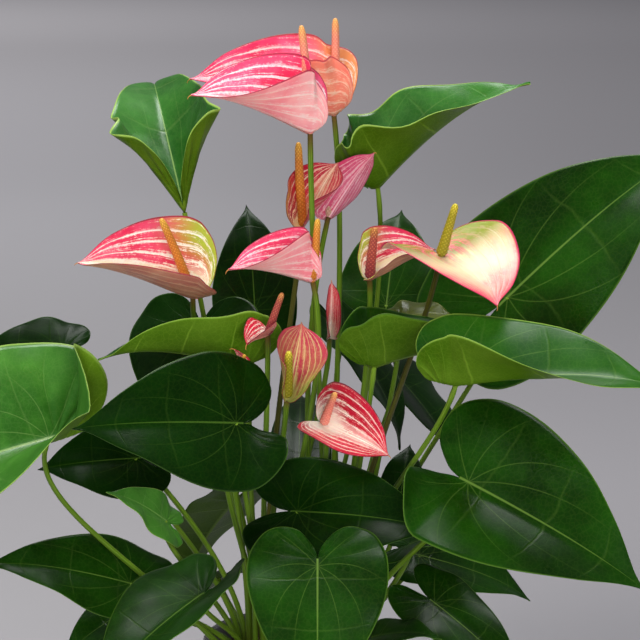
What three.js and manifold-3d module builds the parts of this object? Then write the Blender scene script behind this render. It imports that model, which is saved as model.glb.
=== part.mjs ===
// Potted flamingo flower: a grey pot of soil, a bushy clump of heart-shaped leaves on long petioles, and
// striped spathes, each with its spadix, held above them on slender flower stalks.
// Millimetres, +Z up. The origin is the middle of the pot's flat underside, and -Y is the best side.
import * as THREE from "three";
import { mergeVertices } from "three/addons/utils/BufferGeometryUtils.js";
import Module from "manifold-3d";

const wasm = await Module();
wasm.setup();

// Pot and soil
const potHeight = 150;
const potTopRadius = 85;
const potFootRadius = 62;
const potWall = 3.5;
const potFloor = 4;
const rimHeight = 14;
const rimLip = 4;
const potSides = 32;
const soilLevel = 134;
const soilDome = 8;
const soilGap = 0.3;

// Stems
const petioleRadius = 2.4;
const stalkRadius = 2.6;
const stemSides = 5;
const stemSteps = 6;
const plantingDepth = 12;
const stemStart = soilLevel - plantingDepth;
const holeClearance = 0.9;
const seatGap = 0.35;
const crownRadius = 7;
const crownHeight = 14;
const crownTop = soilLevel + crownHeight;
const stemGap = 2.4;
const leanAllowance = 1.3;
const rimClearance = 3;
const rootSpread = 20;
const rootSpreadLoss = 0.035;
const lowerShare = 0.38;
const upperShare = 0.25;

// Blades
const leafThickness = 0.9;
const leafRib = 1.5;
const spatheThickness = 1.1;
const spatheRib = 0.6;
const stalkDrop = spatheThickness / 2 + spatheRib + seatGap;
const notchPlace = -0.05;
const lobeReach = 0.34;
const jointReach = 0.15;
const rowLean = 0.35;
const waveShift = 1.9;

// The two crowns that the stems rise from
const crowns = { left: [-30, -4], right: [26, 4] };

const radians = THREE.MathUtils.degToRad;
const potSlope = (potTopRadius - rimLip - potFootRadius) / (potHeight - rimHeight);
const potOuter = (height) => potFootRadius + potSlope * height;
const potInner = (height) => potOuter(height) - potWall;
const smooth = (t) => t * t * (3 - 2 * t);

// Half outlines, from the tip round the back lobe to the notch: [across, along], with the tip at 1
const leafOutline = [
  [0, 1], [0.045, 0.9], [0.2, 0.7], [0.36, 0.45], [0.455, 0.17], [0.45, -0.08],
  [0.37, -0.27], [0.24, -0.34], [0.12, -0.3], [0.025, -0.16], [0, notchPlace],
];
const spatheOutline = [
  [0, 1], [0.05, 0.93], [0.21, 0.77], [0.38, 0.5], [0.47, 0.2], [0.45, -0.04],
  [0.36, -0.2], [0.23, -0.25], [0.11, -0.2], [0.025, -0.12], [0, notchPlace],
];

// What a blade's shape may be, where its own entry doesn't say. Angles are in degrees, and a set of three
// is given at the back lobes, at the stem and at the tip.
const leafShape = {
  roll: 0, lobes: 1, droop: 15, tipDroop: 25, lift: 12, fold: [12, 14, 22], curl: [-22, -20, -10],
  funnel: 0, wave: 3, waves: 1.5, rows: 10, columns: 3, bend: [0, 0],
};
const spatheShape = {
  girth: 4.6, roll: 0, lobes: 1, droop: 5, tipDroop: 25, lift: 20, fold: [25, 25, 30], curl: [15, 10, 0],
  funnel: 25, wave: 1, waves: 1, rows: 8, columns: 3, bend: [0, 0],
};

// A value given at the back lobes, the stem and the tip, read at a place along the blade
function valueAlong([back, middle, tip], y) {
  if (y < 0) return THREE.MathUtils.lerp(middle, back, smooth(Math.min(1, -y / lobeReach)));
  return THREE.MathUtils.lerp(middle, tip, smooth(Math.min(1, y)));
}

// The midrib's slope at a share of the blade's length: it sags towards the tip, and the lobes lift
function spineSlope(shape, y) {
  if (y < 0) return radians(shape.lift) * Math.max(-1, y / lobeReach);
  return -radians(shape.droop * y + shape.tipDroop * y ** 3);
}

// The midrib's place and slope at a share of the blade's length
function spineAt(shape, y) {
  const steps = 10;
  let [forward, up] = [0, 0];
  for (let i = 0; i < steps; i++) {
    const slope = spineSlope(shape, (y * (i + 0.5)) / steps);
    forward += (Math.cos(slope) * y) / steps;
    up += (Math.sin(slope) * y) / steps;
  }
  return { forward, up, slope: spineSlope(shape, y) };
}

// A point of the blade, in shares of its length: x to the right of the midrib, y towards the tip, z up.
// Side is 1 on the right half and -1 on the left half.
function bladePoint(shape, side, across, forward) {
  const steps = 6;
  const half = { ...shape, ...(side > 0 ? shape.right : shape.left) };
  const fold = radians(valueAlong(half.fold, forward));
  const curl = radians(valueAlong(half.curl, forward));
  const reach = shape.width / shape.length / 2;
  let [out, rise] = [0, 0];
  for (let i = 0; i < steps; i++) {
    const s = (across * (i + 0.5)) / steps;
    const angle = fold * Math.min(1, s / 0.05) + curl * (s / reach);
    out += (Math.cos(angle) * across) / steps;
    rise += (Math.sin(angle) * across) / steps;
  }
  const beat = 2 * Math.PI * half.waves * forward + (side > 0 ? 0 : waveShift);
  rise += (half.wave / shape.length) * (across / reach) ** 2 * Math.sin(beat);
  const spine = spineAt(shape, forward);
  return funnelled(shape, new THREE.Vector3(
    side * out,
    spine.forward - rise * Math.sin(spine.slope),
    spine.up + rise * Math.cos(spine.slope),
  )).multiplyScalar(shape.length);
}

// Lifts every line that runs out from the stem joint, so that the blade closes up round it like a funnel.
// The midrib stays where it is.
function funnelled(shape, { x, y, z }) {
  const tilt = radians(90 - shape.funnel);
  const [sine, cosine] = [Math.sin(tilt), Math.cos(tilt)];
  const turn = Math.atan2(x, y);
  const reach = Math.hypot(x, y);
  const behind = 1 - Math.cos(turn);
  return new THREE.Vector3(
    (reach * sine - z * cosine) * Math.sin(turn),
    reach * (1 - sine * sine * behind) + z * sine * cosine * behind,
    reach * sine * cosine * behind + z * (1 - cosine * cosine * behind),
  );
}

// Where a row of points starts on the midrib: one row at the stem joint, and the lobes' rows at the notch
function midribPlace(place) {
  if (place > jointReach) return place;
  return place > notchPlace ? 0 : notchPlace;
}

// The blade's middle surface: rows of points from the midrib out to the outline, on both halves
function bladeSheet(shape, outline) {
  const curve = new THREE.SplineCurve(outline.map(([x, y]) => new THREE.Vector2(x, y)));
  const widest = Math.max(...outline.map(([x]) => x));
  const widen = shape.width / shape.length / 2 / widest;
  const sheet = { points: [], triangles: [], rib: [] };
  const index = new Map();
  const vertex = (point, rib) => {
    const key = point.toArray().map((v) => Math.round(v * 20)).join();
    if (!index.has(key)) {
      index.set(key, sheet.points.push(point) - 1);
      sheet.rib.push(rib);
    }
    return index.get(key);
  };
  const add = (a, b, c) => a !== b && b !== c && c !== a && sheet.triangles.push([a, b, c]);
  for (const side of [1, -1]) {
    const rows = [];
    for (let i = 0; i < shape.rows; i++) {
      const edge = curve.getPoint(i / shape.rows);
      if (edge.y < notchPlace) edge.y = notchPlace + (edge.y - notchPlace) * shape.lobes;
      const inner = i === 0 ? 1 : midribPlace(edge.y - rowLean * edge.x);
      const row = [];
      for (let j = 0; j <= shape.columns; j++) {
        const share = j / shape.columns;
        const across = Math.max(0, edge.x) * share * widen;
        const point = bladePoint(shape, side, across, THREE.MathUtils.lerp(inner, edge.y, share));
        row.push(vertex(point, j === 0 ? 1 - 0.8 * Math.max(0, inner) : 0));
      }
      rows.push(row);
    }
    for (let i = 0; i < shape.rows - 1; i++) {
      for (let j = 0; j < shape.columns; j++) {
        const [a, b] = [rows[i][j], rows[i][j + 1]];
        const [c, d] = [rows[i + 1][j], rows[i + 1][j + 1]];
        if (side > 0) {
          add(a, c, d);
          add(a, d, b);
        } else {
          add(a, d, c);
          add(a, b, d);
        }
      }
    }
  }
  return sheet;
}

// Thickens a sheet into a closed body, split alike on both faces, with the midrib standing out underneath
function thicken({ points, triangles, rib }, thickness, ribHeight) {
  const sheet = new THREE.BufferGeometry().setFromPoints(points);
  sheet.setIndex(triangles.flat());
  sheet.computeVertexNormals();
  const normals = sheet.getAttribute("normal");
  const count = points.length;
  const positions = [];
  for (const face of [1, -1]) {
    points.forEach((point, i) => {
      const offset = face > 0 ? thickness / 2 : -thickness / 2 - ribHeight * rib[i];
      const normal = new THREE.Vector3().fromBufferAttribute(normals, i);
      positions.push(...point.clone().addScaledVector(normal, offset).toArray());
    });
  }
  const faces = [];
  const edges = new Set(triangles.flatMap(([a, b, c]) => [`${a},${b}`, `${b},${c}`, `${c},${a}`]));
  for (const [a, b, c] of triangles) {
    faces.push(a, b, c, a + count, c + count, b + count);
    for (const [p, q] of [[a, b], [b, c], [c, a]]) {
      if (!edges.has(`${q},${p}`)) faces.push(p, p + count, q + count, p, q + count, q);
    }
  }
  const geometry = new THREE.BufferGeometry();
  geometry.setAttribute("position", new THREE.Float32BufferAttribute(positions, 3));
  geometry.setIndex(faces);
  return geometry;
}

// Sets a blade's stem joint at shape.at and its tip at shape.tip, rolled about the line between them
function placeBlade(entry, defaults) {
  const shape = { ...defaults, ...entry };
  const at = new THREE.Vector3(...shape.at);
  const chord = new THREE.Vector3(...shape.tip).sub(at);
  const spine = spineAt(shape, 1);
  shape.length = chord.length() / Math.hypot(spine.forward, spine.up);
  const towards = chord.normalize();
  const left = new THREE.Vector3(-towards.y, towards.x, 0).normalize();
  left.applyAxisAngle(towards, radians(shape.roll));
  const above = new THREE.Vector3().crossVectors(towards, left);
  const sag = Math.atan2(-spine.up, spine.forward);
  const forward = towards.clone().multiplyScalar(Math.cos(sag)).addScaledVector(above, Math.sin(sag));
  const up = above.clone().multiplyScalar(Math.cos(sag)).addScaledVector(towards, -Math.sin(sag));
  shape.matrix = new THREE.Matrix4().makeBasis(left.clone().negate(), forward, up).setPosition(at);
  return { ...shape, at, forward, up };
}

function bladeGeometry(shape, outline, thickness, ribHeight) {
  return thicken(bladeSheet(shape, outline), thickness, ribHeight).applyMatrix4(shape.matrix);
}

// A stem's course: up out of the soil from its root, then over to the blade, arriving from below and
// behind it. The root is beside the crown, on the blade's side, and further out for lower leaves.
function stemFrom(entry, shape, isStalk) {
  const crown = crowns[entry.crown];
  const side = new THREE.Vector2(shape.at.x - crown[0], shape.at.y - crown[1]).normalize();
  const outermost = crownRadius + rootSpread - rootSpreadLoss * (shape.at.z - soilLevel);
  const offset = side.multiplyScalar(isStalk ? 0.4 * crownRadius : outermost);
  const start = isStalk ? soilLevel + soilDome : stemStart;
  const root = new THREE.Vector3(crown[0] + offset.x, crown[1] + offset.y, start);
  const span = root.distanceTo(shape.at);
  const level = new THREE.Vector3(shape.forward.x, shape.forward.y, 0);
  const arrival = new THREE.Vector3(0, 0, 1).addScaledVector(shape.up, 0.6).addScaledVector(level, 0.4);
  const [bendX, bendY] = shape.bend;
  const lower = root.clone().add(new THREE.Vector3(bendX, bendY, lowerShare * span));
  const upper = shape.at.clone().addScaledVector(arrival.normalize(), -upperShare * span);
  upper.add(new THREE.Vector3(0.5 * bendX, 0.5 * bendY, 0));
  const end = shape.at.clone().addScaledVector(arrival, isStalk ? -stalkDrop : 0);
  return { crown: entry.crown, isStalk, radius: isStalk ? stalkRadius : petioleRadius,
    points: [root, lower, upper, end] };
}

// Where a stem crosses a level, and how far along its course that is
function crossing(stem, level) {
  const [root, lower, upper, joint] = stem.points;
  const steps = 24;
  let before = { t: 0, at: root };
  for (let i = 1; i <= steps; i++) {
    const t = i / steps;
    const [w0, w1, w2, w3] = bezierWeights(t);
    const at = new THREE.Vector3().addScaledVector(root, w0).addScaledVector(lower, w1)
      .addScaledVector(upper, w2).addScaledVector(joint, w3);
    if (before.at.z <= level && at.z > level) {
      const share = (level - before.at.z) / (at.z - before.at.z);
      const place = before.at.clone().lerp(at, share);
      return { x: place.x, y: place.y, t: (i - 1 + share) / steps };
    }
    before = { t, at };
  }
  return null;
}

function bezierWeights(t) {
  return [(1 - t) ** 3, 3 * (1 - t) ** 2 * t, 3 * (1 - t) * t * t, t ** 3];
}

// Nudges the stems sideways, by all their points but the joint, until at every level they stand clear of
// each other, of the crowns and of the pot's rim
function spreadStems(stems) {
  const rounds = 200;
  const levelStep = 8;
  const top = Math.max(...stems.map((stem) => stem.points[3].z));
  for (let round = 0; round < rounds; round++) {
    const nudges = stems.map(() => [[0, 0, 0], [0, 0, 0], [0, 0, 0]]);
    const nudge = (i, t, x, y) => {
      const weights = bezierWeights(t);
      nudges[i].forEach((sum, k) => {
        sum[0] += weights[k] * x;
        sum[1] += weights[k] * y;
        sum[2] += weights[k] ** 2;
      });
    };
    for (let level = stemStart + 1; level < top; level += levelStep) {
      const here = stems.map((stem) => crossing(stem, level));
      for (let i = 0; i < stems.length; i++) {
        if (!here[i]) continue;
        const { x, y, t } = here[i];
        for (let j = 0; j < i; j++) {
          if (!here[j]) continue;
          const fused = stems[i].isStalk && stems[j].isStalk && stems[i].crown === stems[j].crown;
          if (fused && level < crownTop + 40) continue;
          const lean = level < crownTop ? 1 : leanAllowance;
          const need = lean * (stems[i].radius + stems[j].radius + stemGap);
          const [dx, dy] = [x - here[j].x, y - here[j].y];
          const apart = Math.hypot(dx, dy) || 1;
          if (apart >= need) continue;
          const push = (0.5 * (need - apart)) / apart;
          nudge(i, t, push * dx, push * dy);
          nudge(j, here[j].t, -push * dx, -push * dy);
        }
        if (level < crownTop && !stems[i].isStalk) {
          for (const crown of Object.values(crowns)) {
            const [dx, dy] = [x - crown[0], y - crown[1]];
            const apart = Math.hypot(dx, dy);
            const push = Math.max(0, crownRadius + stems[i].radius + stemGap - apart) / apart;
            if (push > 0) nudge(i, t, push * dx, push * dy);
          }
        }
        const room = potInner(soilLevel) - stems[i].radius - rimClearance;
        const out = Math.hypot(x, y);
        if (level < potHeight + 4 && out > room) nudge(i, t, (room / out - 1) * x, (room / out - 1) * y);
      }
    }
    stems.forEach((stem, i) => {
      nudges[i].forEach(([x, y, weight], k) => {
        if (k === 0 && stem.isStalk) return;
        stem.points[k].x += (0.5 * x) / (weight + 0.3);
        stem.points[k].y += (0.5 * y) / (weight + 0.3);
      });
    });
  }
}

// A rod along a curve, with flat sides
function rod(curve, radius, steps = stemSteps) {
  const section = new THREE.Shape();
  for (let i = 0; i < stemSides; i++) {
    const angle = (2 * Math.PI * i) / stemSides;
    const [x, y] = [radius * Math.cos(angle), radius * Math.sin(angle)];
    if (i === 0) section.moveTo(x, y);
    else section.lineTo(x, y);
  }
  section.closePath();
  return new THREE.ExtrudeGeometry(section, { extrudePath: curve, steps, bevelEnabled: false });
}

// The spadix: a tapering spike on a narrow neck, with florets in relief, each row of them half a step on
function spadixGeometry(curve, radius) {
  const sides = 8;
  const rings = 9;
  const bump = 0.09;
  const frames = curve.computeFrenetFrames(rings, false);
  const positions = [...curve.getPoint(0).toArray()];
  for (let i = 0; i <= rings; i++) {
    const share = i / rings;
    const centre = curve.getPoint(share);
    const body = i === 0 ? 0.42 : (1.02 - 0.42 * share) * Math.sqrt(1 - 0.75 * share ** 8);
    for (let j = 0; j < sides; j++) {
      const relief = i === 0 ? 1 : 1 + ((i + j) % 2 === 0 ? bump : -bump);
      const angle = (2 * Math.PI * j) / sides;
      const point = centre.clone()
        .addScaledVector(frames.normals[i], radius * body * relief * Math.cos(angle))
        .addScaledVector(frames.binormals[i], radius * body * relief * Math.sin(angle));
      positions.push(...point.toArray());
    }
  }
  const tip = curve.getPoint(1).addScaledVector(frames.tangents[rings], 0.45 * radius);
  positions.push(...tip.toArray());
  const at = (i, j) => 1 + i * sides + (j % sides);
  const faces = [];
  for (let j = 0; j < sides; j++) {
    faces.push(0, at(0, j + 1), at(0, j));
    faces.push(positions.length / 3 - 1, at(rings, j), at(rings, j + 1));
    for (let i = 0; i < rings; i++) {
      const [a, b, c, d] = [at(i, j), at(i, j + 1), at(i + 1, j + 1), at(i + 1, j)];
      if ((i + j) % 2 === 0) faces.push(a, b, d, b, c, d);
      else faces.push(a, b, c, a, c, d);
    }
  }
  const geometry = new THREE.BufferGeometry();
  geometry.setAttribute("position", new THREE.Float32BufferAttribute(positions, 3));
  geometry.setIndex(faces);
  return geometry;
}

// A solid of revolution from its outline, given as [radius, height]
function turned(profile) {
  return new THREE.LatheGeometry(profile.map(([x, z]) => new THREE.Vector2(x, z)), potSides)
    .rotateX(Math.PI / 2);
}

function solidOf(geometry) {
  const bare = new THREE.BufferGeometry();
  bare.setAttribute("position", geometry.getAttribute("position").clone());
  bare.setIndex(geometry.getIndex());
  const merged = mergeVertices(bare, 1e-3);
  return new wasm.Manifold(new wasm.Mesh({
    numProp: 3,
    vertProperties: new Float32Array(merged.getAttribute("position").array),
    triVerts: new Uint32Array(merged.getIndex().array),
  }));
}

function geometryOf(solid) {
  const { vertProperties, triVerts, numProp } = solid.getMesh();
  const positions = [];
  for (let i = 0; i < vertProperties.length; i += numProp) {
    positions.push(...vertProperties.subarray(i, i + 3));
  }
  const geometry = new THREE.BufferGeometry();
  geometry.setAttribute("position", new THREE.Float32BufferAttribute(positions, 3));
  geometry.setIndex([...triVerts]);
  return geometry;
}

// What is left of a cut piece, without the scraps beyond the cut
function largestPiece(solid) {
  return solid.decompose().reduce((best, piece) => (piece.volume() > best.volume() ? piece : best));
}

const plant = new THREE.Group();

function addPart(name, geometry, material) {
  const mesh = new THREE.Mesh(geometry, material);
  mesh.name = name;
  plant.add(mesh);
}

const finish = (color, roughness) => new THREE.MeshStandardMaterial({ color, roughness, metalness: 0 });
const materials = {
  pot: finish(0x77757a, 0.5),
  soil: finish(0x2e2620, 0.95),
  leaf: finish(0x1f5a24, 0.35),
  freshLeaf: finish(0x3f7040, 0.35),
  yellowLeaf: finish(0x7d8a2c, 0.45),
  stalk: finish(0x5d7a34, 0.45),
  spathe: finish(0xdb4a66, 0.35),
  redSpathe: finish(0xb3263d, 0.35),
  paleSpathe: finish(0xe9c3a8, 0.35),
  oliveSpathe: finish(0x9a6a4a, 0.4),
  spadix: finish(0xd9823c, 0.6),
  greenSpadix: finish(0xa8a83a, 0.6),
  pinkSpadix: finish(0xe08a78, 0.6),
};

// Leaves, named by where they show from the front, each with its stem joint and its tip in millimetres
const leaves = [
  { name: "upper_left", tone: "freshLeaf", crown: "left", at: [-97, 0, 524], tip: [-130, 145, 612],
    width: 190, roll: -14, funnel: 56, lift: 0, lobes: 1.2, droop: 0, tipDroop: 90, fold: [0, 10, 15],
    curl: [0, 0, -20], wave: 4 },
  { name: "upper_right", tone: "freshLeaf", crown: "right", at: [67, 60, 537], tip: [197, 50, 628],
    width: 128, roll: 5, funnel: 25, lift: 60, right: { fold: [30, 36, 0], curl: [5, 0, 0] },
    left: { fold: [55, 62, 40] }, wave: 6, waves: 2.2 },
  { name: "right_high", crown: "right", at: [183, 80, 437], tip: [345, 110, 564], width: 150,
    roll: 50 },
  { name: "right_middle", crown: "right", at: [126, -118, 402], tip: [290, -160, 407], width: 125,
    roll: 32, funnel: 15, lobes: 0.6, right: { fold: [90, 72, 20], curl: [0, 0, 0] },
    left: { fold: [20, 15, 15] }, bend: [-24, 34] },
  { name: "middle_right_low", crown: "right", at: [62, -54, 403], tip: [166, -55, 415], width: 106,
    roll: 0, funnel: 15, right: { fold: [45, 45, 55], curl: [0, 0, 0] }, left: { fold: [80, 48, 25] } },
  { name: "heart_behind", crown: "right", at: [39, 95, 400], tip: [88, 75, 299], width: 90, roll: 0,
    bend: [14, 0] },
  { name: "right_low", crown: "right", at: [138, -107, 318], tip: [276, -167, 245], width: 146,
    roll: 52, lift: 24, lobes: 0.75, right: { fold: [62, 32, 28], curl: [0, -20, 0] },
    left: { fold: [24, 18, 22] } },
  { name: "centre", crown: "right", at: [-1, -95, 290], tip: [119, -122, 280], width: 95, roll: 50 },
  { name: "front", crown: "left", at: [15, -150, 260], tip: [15, -215, 153], width: 112, lobes: 0.75 },
  { name: "left_middle_low", crown: "left", at: [-49, -45, 402], tip: [-165, -75, 413], width: 102,
    roll: 0, funnel: 15, right: { fold: [62, 16, 20] }, left: { fold: [66, 54, 62], curl: [0, 0, 0] } },
  { name: "left_middle_high", crown: "left", at: [-90, 65, 407], tip: [-101, 30, 311], width: 120 },
  { name: "left_dark", crown: "left", at: [-51, -121, 371], tip: [-178, -166, 377], width: 115,
    roll: -62, lobes: 0.7, left: { fold: [70, 14, 22] } },
  { name: "far_left", crown: "left", at: [-211, -40, 338], tip: [-340, -90, 303], width: 175, roll: -55,
    lobes: 1.3, right: { fold: [20, 15, 15] }, left: { fold: [150, 78, 5], curl: [0, 0, 0] },
    bend: [-70, -20] },
  { name: "left_behind", crown: "left", at: [-146, 50, 298], tip: [-231, 40, 290], width: 75, roll: -60,
    rows: 8, columns: 2 },
  { name: "far_left_behind", crown: "left", at: [-214, 80, 388], tip: [-294, 80, 378], width: 70,
    roll: -40, rows: 8, columns: 2 },
  { name: "left_small", crown: "left", at: [-115, -30, 264], tip: [-162, -60, 297], width: 45,
    roll: -50, rows: 8, columns: 2 },
  { name: "left_low", crown: "left", at: [-147, -20, 205], tip: [-268, -60, 234], width: 80, roll: -45,
    bend: [4, -10] },
  { name: "front_left", crown: "left", at: [-84, -90, 215], tip: [-162, -160, 151], width: 110,
    roll: -10, left: { fold: [60, 45, 22] } },
  { name: "left_low_behind", crown: "left", at: [-136, 12, 180], tip: [-208, -20, 134], width: 62,
    roll: -30, bend: [14, 0], rows: 8, columns: 2 },
  { name: "inner_left", crown: "left", at: [-62, 95, 245], tip: [-105, 150, 150], width: 92,
    bend: [16, 8], rows: 8, columns: 2 },
  { name: "inner_low", crown: "left", at: [-74, 60, 185], tip: [-104, 111, 135], width: 52, rows: 8,
    columns: 2 },
  { name: "back_upper", crown: "left", at: [-41, 90, 424], tip: [-50, 150, 509], width: 75,
    bend: [-15, 0], rows: 8, columns: 2 },
  { name: "back_right_upper", crown: "right", at: [78, 155, 416], tip: [94, 225, 493], width: 95,
    bend: [-22, 0] },
  { name: "right_yellow", tone: "yellowLeaf", crown: "right", at: [88, 15, 432], tip: [134, 10, 431],
    width: 42, roll: 20, rows: 8, columns: 2 },
  { name: "right_behind", crown: "right", at: [92, 167, 342], tip: [140, 147, 263], width: 92,
    lobes: 0.6, rows: 8, columns: 2 },
  { name: "centre_behind", crown: "left", at: [-2, 95, 284], tip: [-1, 205, 320], width: 58, rows: 8,
    columns: 2 },
  { name: "right_under", crown: "right", at: [96, -15, 239], tip: [166, -35, 252], width: 60, roll: 10,
    rows: 8, columns: 2 },
  { name: "right_low_behind", crown: "right", at: [106, 60, 206], tip: [207, 80, 157], width: 65,
    roll: 40, rows: 8, columns: 2 },
  { name: "front_right", crown: "right", at: [114, -60, 200], tip: [188, -108, 138], width: 64,
    roll: 30, rows: 8, columns: 2 },
  { name: "front_right_low", crown: "right", at: [62, -80, 177], tip: [117, -122, 189], width: 45,
    roll: 20, rows: 8, columns: 2 },
  { name: "behind_right", crown: "right", at: [87, 20, 268], tip: [97, 60, 308], width: 45, rows: 8,
    columns: 2 },
];

// Blooms, from the top down, each with its spathe's joint and tip and its spadix's tip
const blooms = [
  { name: "top_front", spike: "pinkSpadix", crown: "right", at: [9, -45, 596], tip: [-87, -70, 630],
    width: 122, roll: -15, spadix: [2, -55, 683], funnel: 30, lobes: 1.25,
    right: { fold: [35, 55, 48] }, left: { fold: [60, 42, 12] } },
  { name: "top_back", spike: "pinkSpadix", crown: "right", at: [29, 55, 600], tip: [-95, 60, 631],
    width: 132, roll: -15, spadix: [30, 50, 682], funnel: 30, lobes: 1.5, right: { fold: [30, 48, 45] },
    left: { fold: [50, 32, 5] }, bend: [0, -15] },
  { name: "upper_middle", crown: "left", at: [2, 5, 511], tip: [32, 25, 563], width: 92, roll: 38,
    spadix: [-1, -10, 583], funnel: 25, right: { fold: [45, 45, 30] }, left: { fold: [40, 45, 30] } },
  { name: "upper_right", crown: "right", at: [24, 25, 516], tip: [63, 15, 573], width: 60, roll: -60,
    spadix: [34, 38, 558], girth: 3.6 },
  { name: "left", crown: "left", at: [-90, -15, 454], tip: [-184, -40, 488], width: 136, roll: -40,
    spadix: [-113, -50, 525], funnel: 25, lobes: 1.15, right: { fold: [30, 30, 30] },
    left: { fold: [25, 32, 55] }, bend: [0, 20] },
  { name: "middle_left", crown: "left", at: [11, -52, 474], tip: [-58, -67, 487], width: 88, roll: -10,
    spadix: [15, -57, 526], girth: 4, funnel: 25, right: { fold: [30, 55, 75] },
    left: { fold: [70, 60, 15] } },
  { name: "middle_right", crown: "right", at: [59, 0, 467], tip: [114, 5, 492], width: 92, roll: 42,
    spadix: [63, -10, 511], right: { fold: [20, 30, 60] }, left: { fold: [35, 35, 30] } },
  { name: "right", tone: "paleSpathe", spike: "greenSpadix", crown: "right", at: [117, -35, 492],
    tip: [160, -100, 463], width: 124, roll: -5, spadix: [128, -50, 537], funnel: 5, lobes: 1.2,
    right: { fold: [-20, 4, 12] }, left: { fold: [20, 22, 12] }, bend: [8, 18] },
  { name: "inner_high", tone: "redSpathe", crown: "left", at: [-26, -70, 433], tip: [-43, -85, 428],
    width: 40, roll: 0, spadix: [-14, -82, 469], girth: 3.5, funnel: 10, fold: [25, 28, 30] },
  { name: "inner_low", tone: "redSpathe", crown: "left", at: [-48, -70, 404], tip: [-53, -70, 421],
    width: 22, roll: 0, spadix: [-45, -76, 417], girth: 2.4, rows: 6, columns: 1 },
  { name: "centre", tone: "oliveSpathe", spike: "greenSpadix", crown: "left", at: [-10, -90, 385],
    tip: [2, -65, 442], width: 98, roll: 35, spadix: [-8, -110, 426], fold: [45, 45, 30],
    bend: [0, 15] },
  { name: "low_red", tone: "redSpathe", spike: "pinkSpadix", crown: "left", at: [20, -75, 359],
    tip: [73, -105, 340], width: 82, roll: 45, spadix: [29, -100, 390], girth: 4, funnel: 10,
    fold: [30, 35, 30], bend: [0, 15] },
  { name: "rolled", tone: "redSpathe", crown: "left", at: [25, 5, 418], tip: [27, 10, 463], width: 45,
    roll: 30, funnel: 10, lobes: 0.3, fold: [50, 70, 60], curl: [0, 10, 15] },
];

// The pot: a plain tapered pot with a rolled rim, turned from its outline
const potProfile = [
  [0, 0], [potFootRadius - 2, 0], [potFootRadius, 2],
  [potOuter(potHeight - rimHeight), potHeight - rimHeight], [potTopRadius, potHeight - rimHeight + 3],
  [potTopRadius, potHeight - 1.5], [potTopRadius - 1.5, potHeight],
  [potInner(potHeight) + 0.5, potHeight], [potInner(potHeight - 2), potHeight - 2],
  [potInner(potFloor), potFloor], [0, potFloor],
];
addPart("pot", turned(potProfile), materials.pot);

// The soil, mounded a little towards the middle
const soilEdge = potInner(soilLevel) - soilGap;
const soilProfile = [
  [0, potFloor + soilGap], [potInner(potFloor) - soilGap, potFloor + soilGap], [soilEdge, soilLevel],
  [0.75 * soilEdge, soilLevel + 0.55 * soilDome], [0, soilLevel + soilDome],
];
let soil = solidOf(turned(soilProfile));

for (const entry of leaves) entry.shape = placeBlade(entry, leafShape);
for (const entry of blooms) entry.shape = placeBlade(entry, spatheShape);
for (const entry of leaves) entry.stem = stemFrom(entry, entry.shape, false);
for (const entry of blooms) entry.stem = stemFrom(entry, entry.shape, true);
spreadStems([...leaves, ...blooms].map((entry) => entry.stem));

// Each leaf is one body with its petiole, which stands in a plain hole in the soil
for (const { name, tone, shape, stem } of leaves) {
  const course = new THREE.CubicBezierCurve3(...stem.points);
  const blade = solidOf(bladeGeometry(shape, leafOutline, leafThickness, leafRib));
  const petiole = solidOf(rod(course, petioleRadius));
  addPart(`leaf_${name}`, geometryOf(blade.add(petiole)), materials[tone ?? "leaf"]);
  soil = soil.subtract(solidOf(rod(course, petioleRadius + holeClearance).translate(0, 0, -seatGap)));
}

// The space that a spathe keeps clear round itself, spread out from its joint by a share
function fattened(shape, share) {
  const skin = bladeGeometry(shape, spatheOutline, spatheThickness + 2 * seatGap, spatheRib);
  const { x, y, z } = shape.at;
  return solidOf(skin.translate(-x, -y, -z).scale(share, share, share).translate(x, y, z));
}

// Each crown is a short upright rootstock with its flower stalks, which stop just under their spathes
for (const [crown, at] of Object.entries(crowns)) {
  const rootstock = (radius, drop) => solidOf(rod(new THREE.LineCurve3(
    new THREE.Vector3(...at, stemStart - drop), new THREE.Vector3(...at, crownTop)), radius, 1));
  let stalks = rootstock(crownRadius, 0);
  soil = soil.subtract(rootstock(crownRadius + holeClearance, seatGap));
  for (const bloom of blooms.filter((entry) => entry.crown === crown)) {
    const { name, shape, stem } = bloom;
    const spathe = bladeGeometry(shape, spatheOutline, spatheThickness, spatheRib);
    addPart(`spathe_${name}`, spathe, materials[bloom.tone ?? "spathe"]);
    const clearance = solidOf(spathe).add(fattened(shape, 1)).add(fattened(shape, 1.03));
    const course = new THREE.CubicBezierCurve3(...stem.points);
    stalks = stalks.add(largestPiece(solidOf(rod(course, stalkRadius)).subtract(clearance)));
    if (!bloom.spadix) continue;
    const tip = new THREE.Vector3(...bloom.spadix);
    const bow = 0.04 * shape.at.distanceTo(tip);
    const middle = shape.at.clone().lerp(tip, 0.5).addScaledVector(shape.up, bow);
    const line = new THREE.QuadraticBezierCurve3(shape.at, middle, tip);
    const spike = solidOf(spadixGeometry(line, shape.girth));
    const beside = clearance.add(solidOf(rod(course, stalkRadius + seatGap)));
    const spadix = geometryOf(largestPiece(spike.subtract(beside)));
    addPart(`spadix_${name}`, spadix, materials[bloom.spike ?? "spadix"]);
  }
  addPart(`flower_stalks_${crown}`, geometryOf(stalks), materials.stalk);
}
addPart("soil", geometryOf(soil), materials.soil);

export default plant;
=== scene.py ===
# Potted flamingo flower: fine leaves, striped spathes, spadices, stems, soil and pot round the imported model.
# Shapes are worked out in millimetres and turned into metres where their meshes are made.
import math

import bmesh
import bpy
import numpy as np
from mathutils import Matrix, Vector, noise


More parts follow.
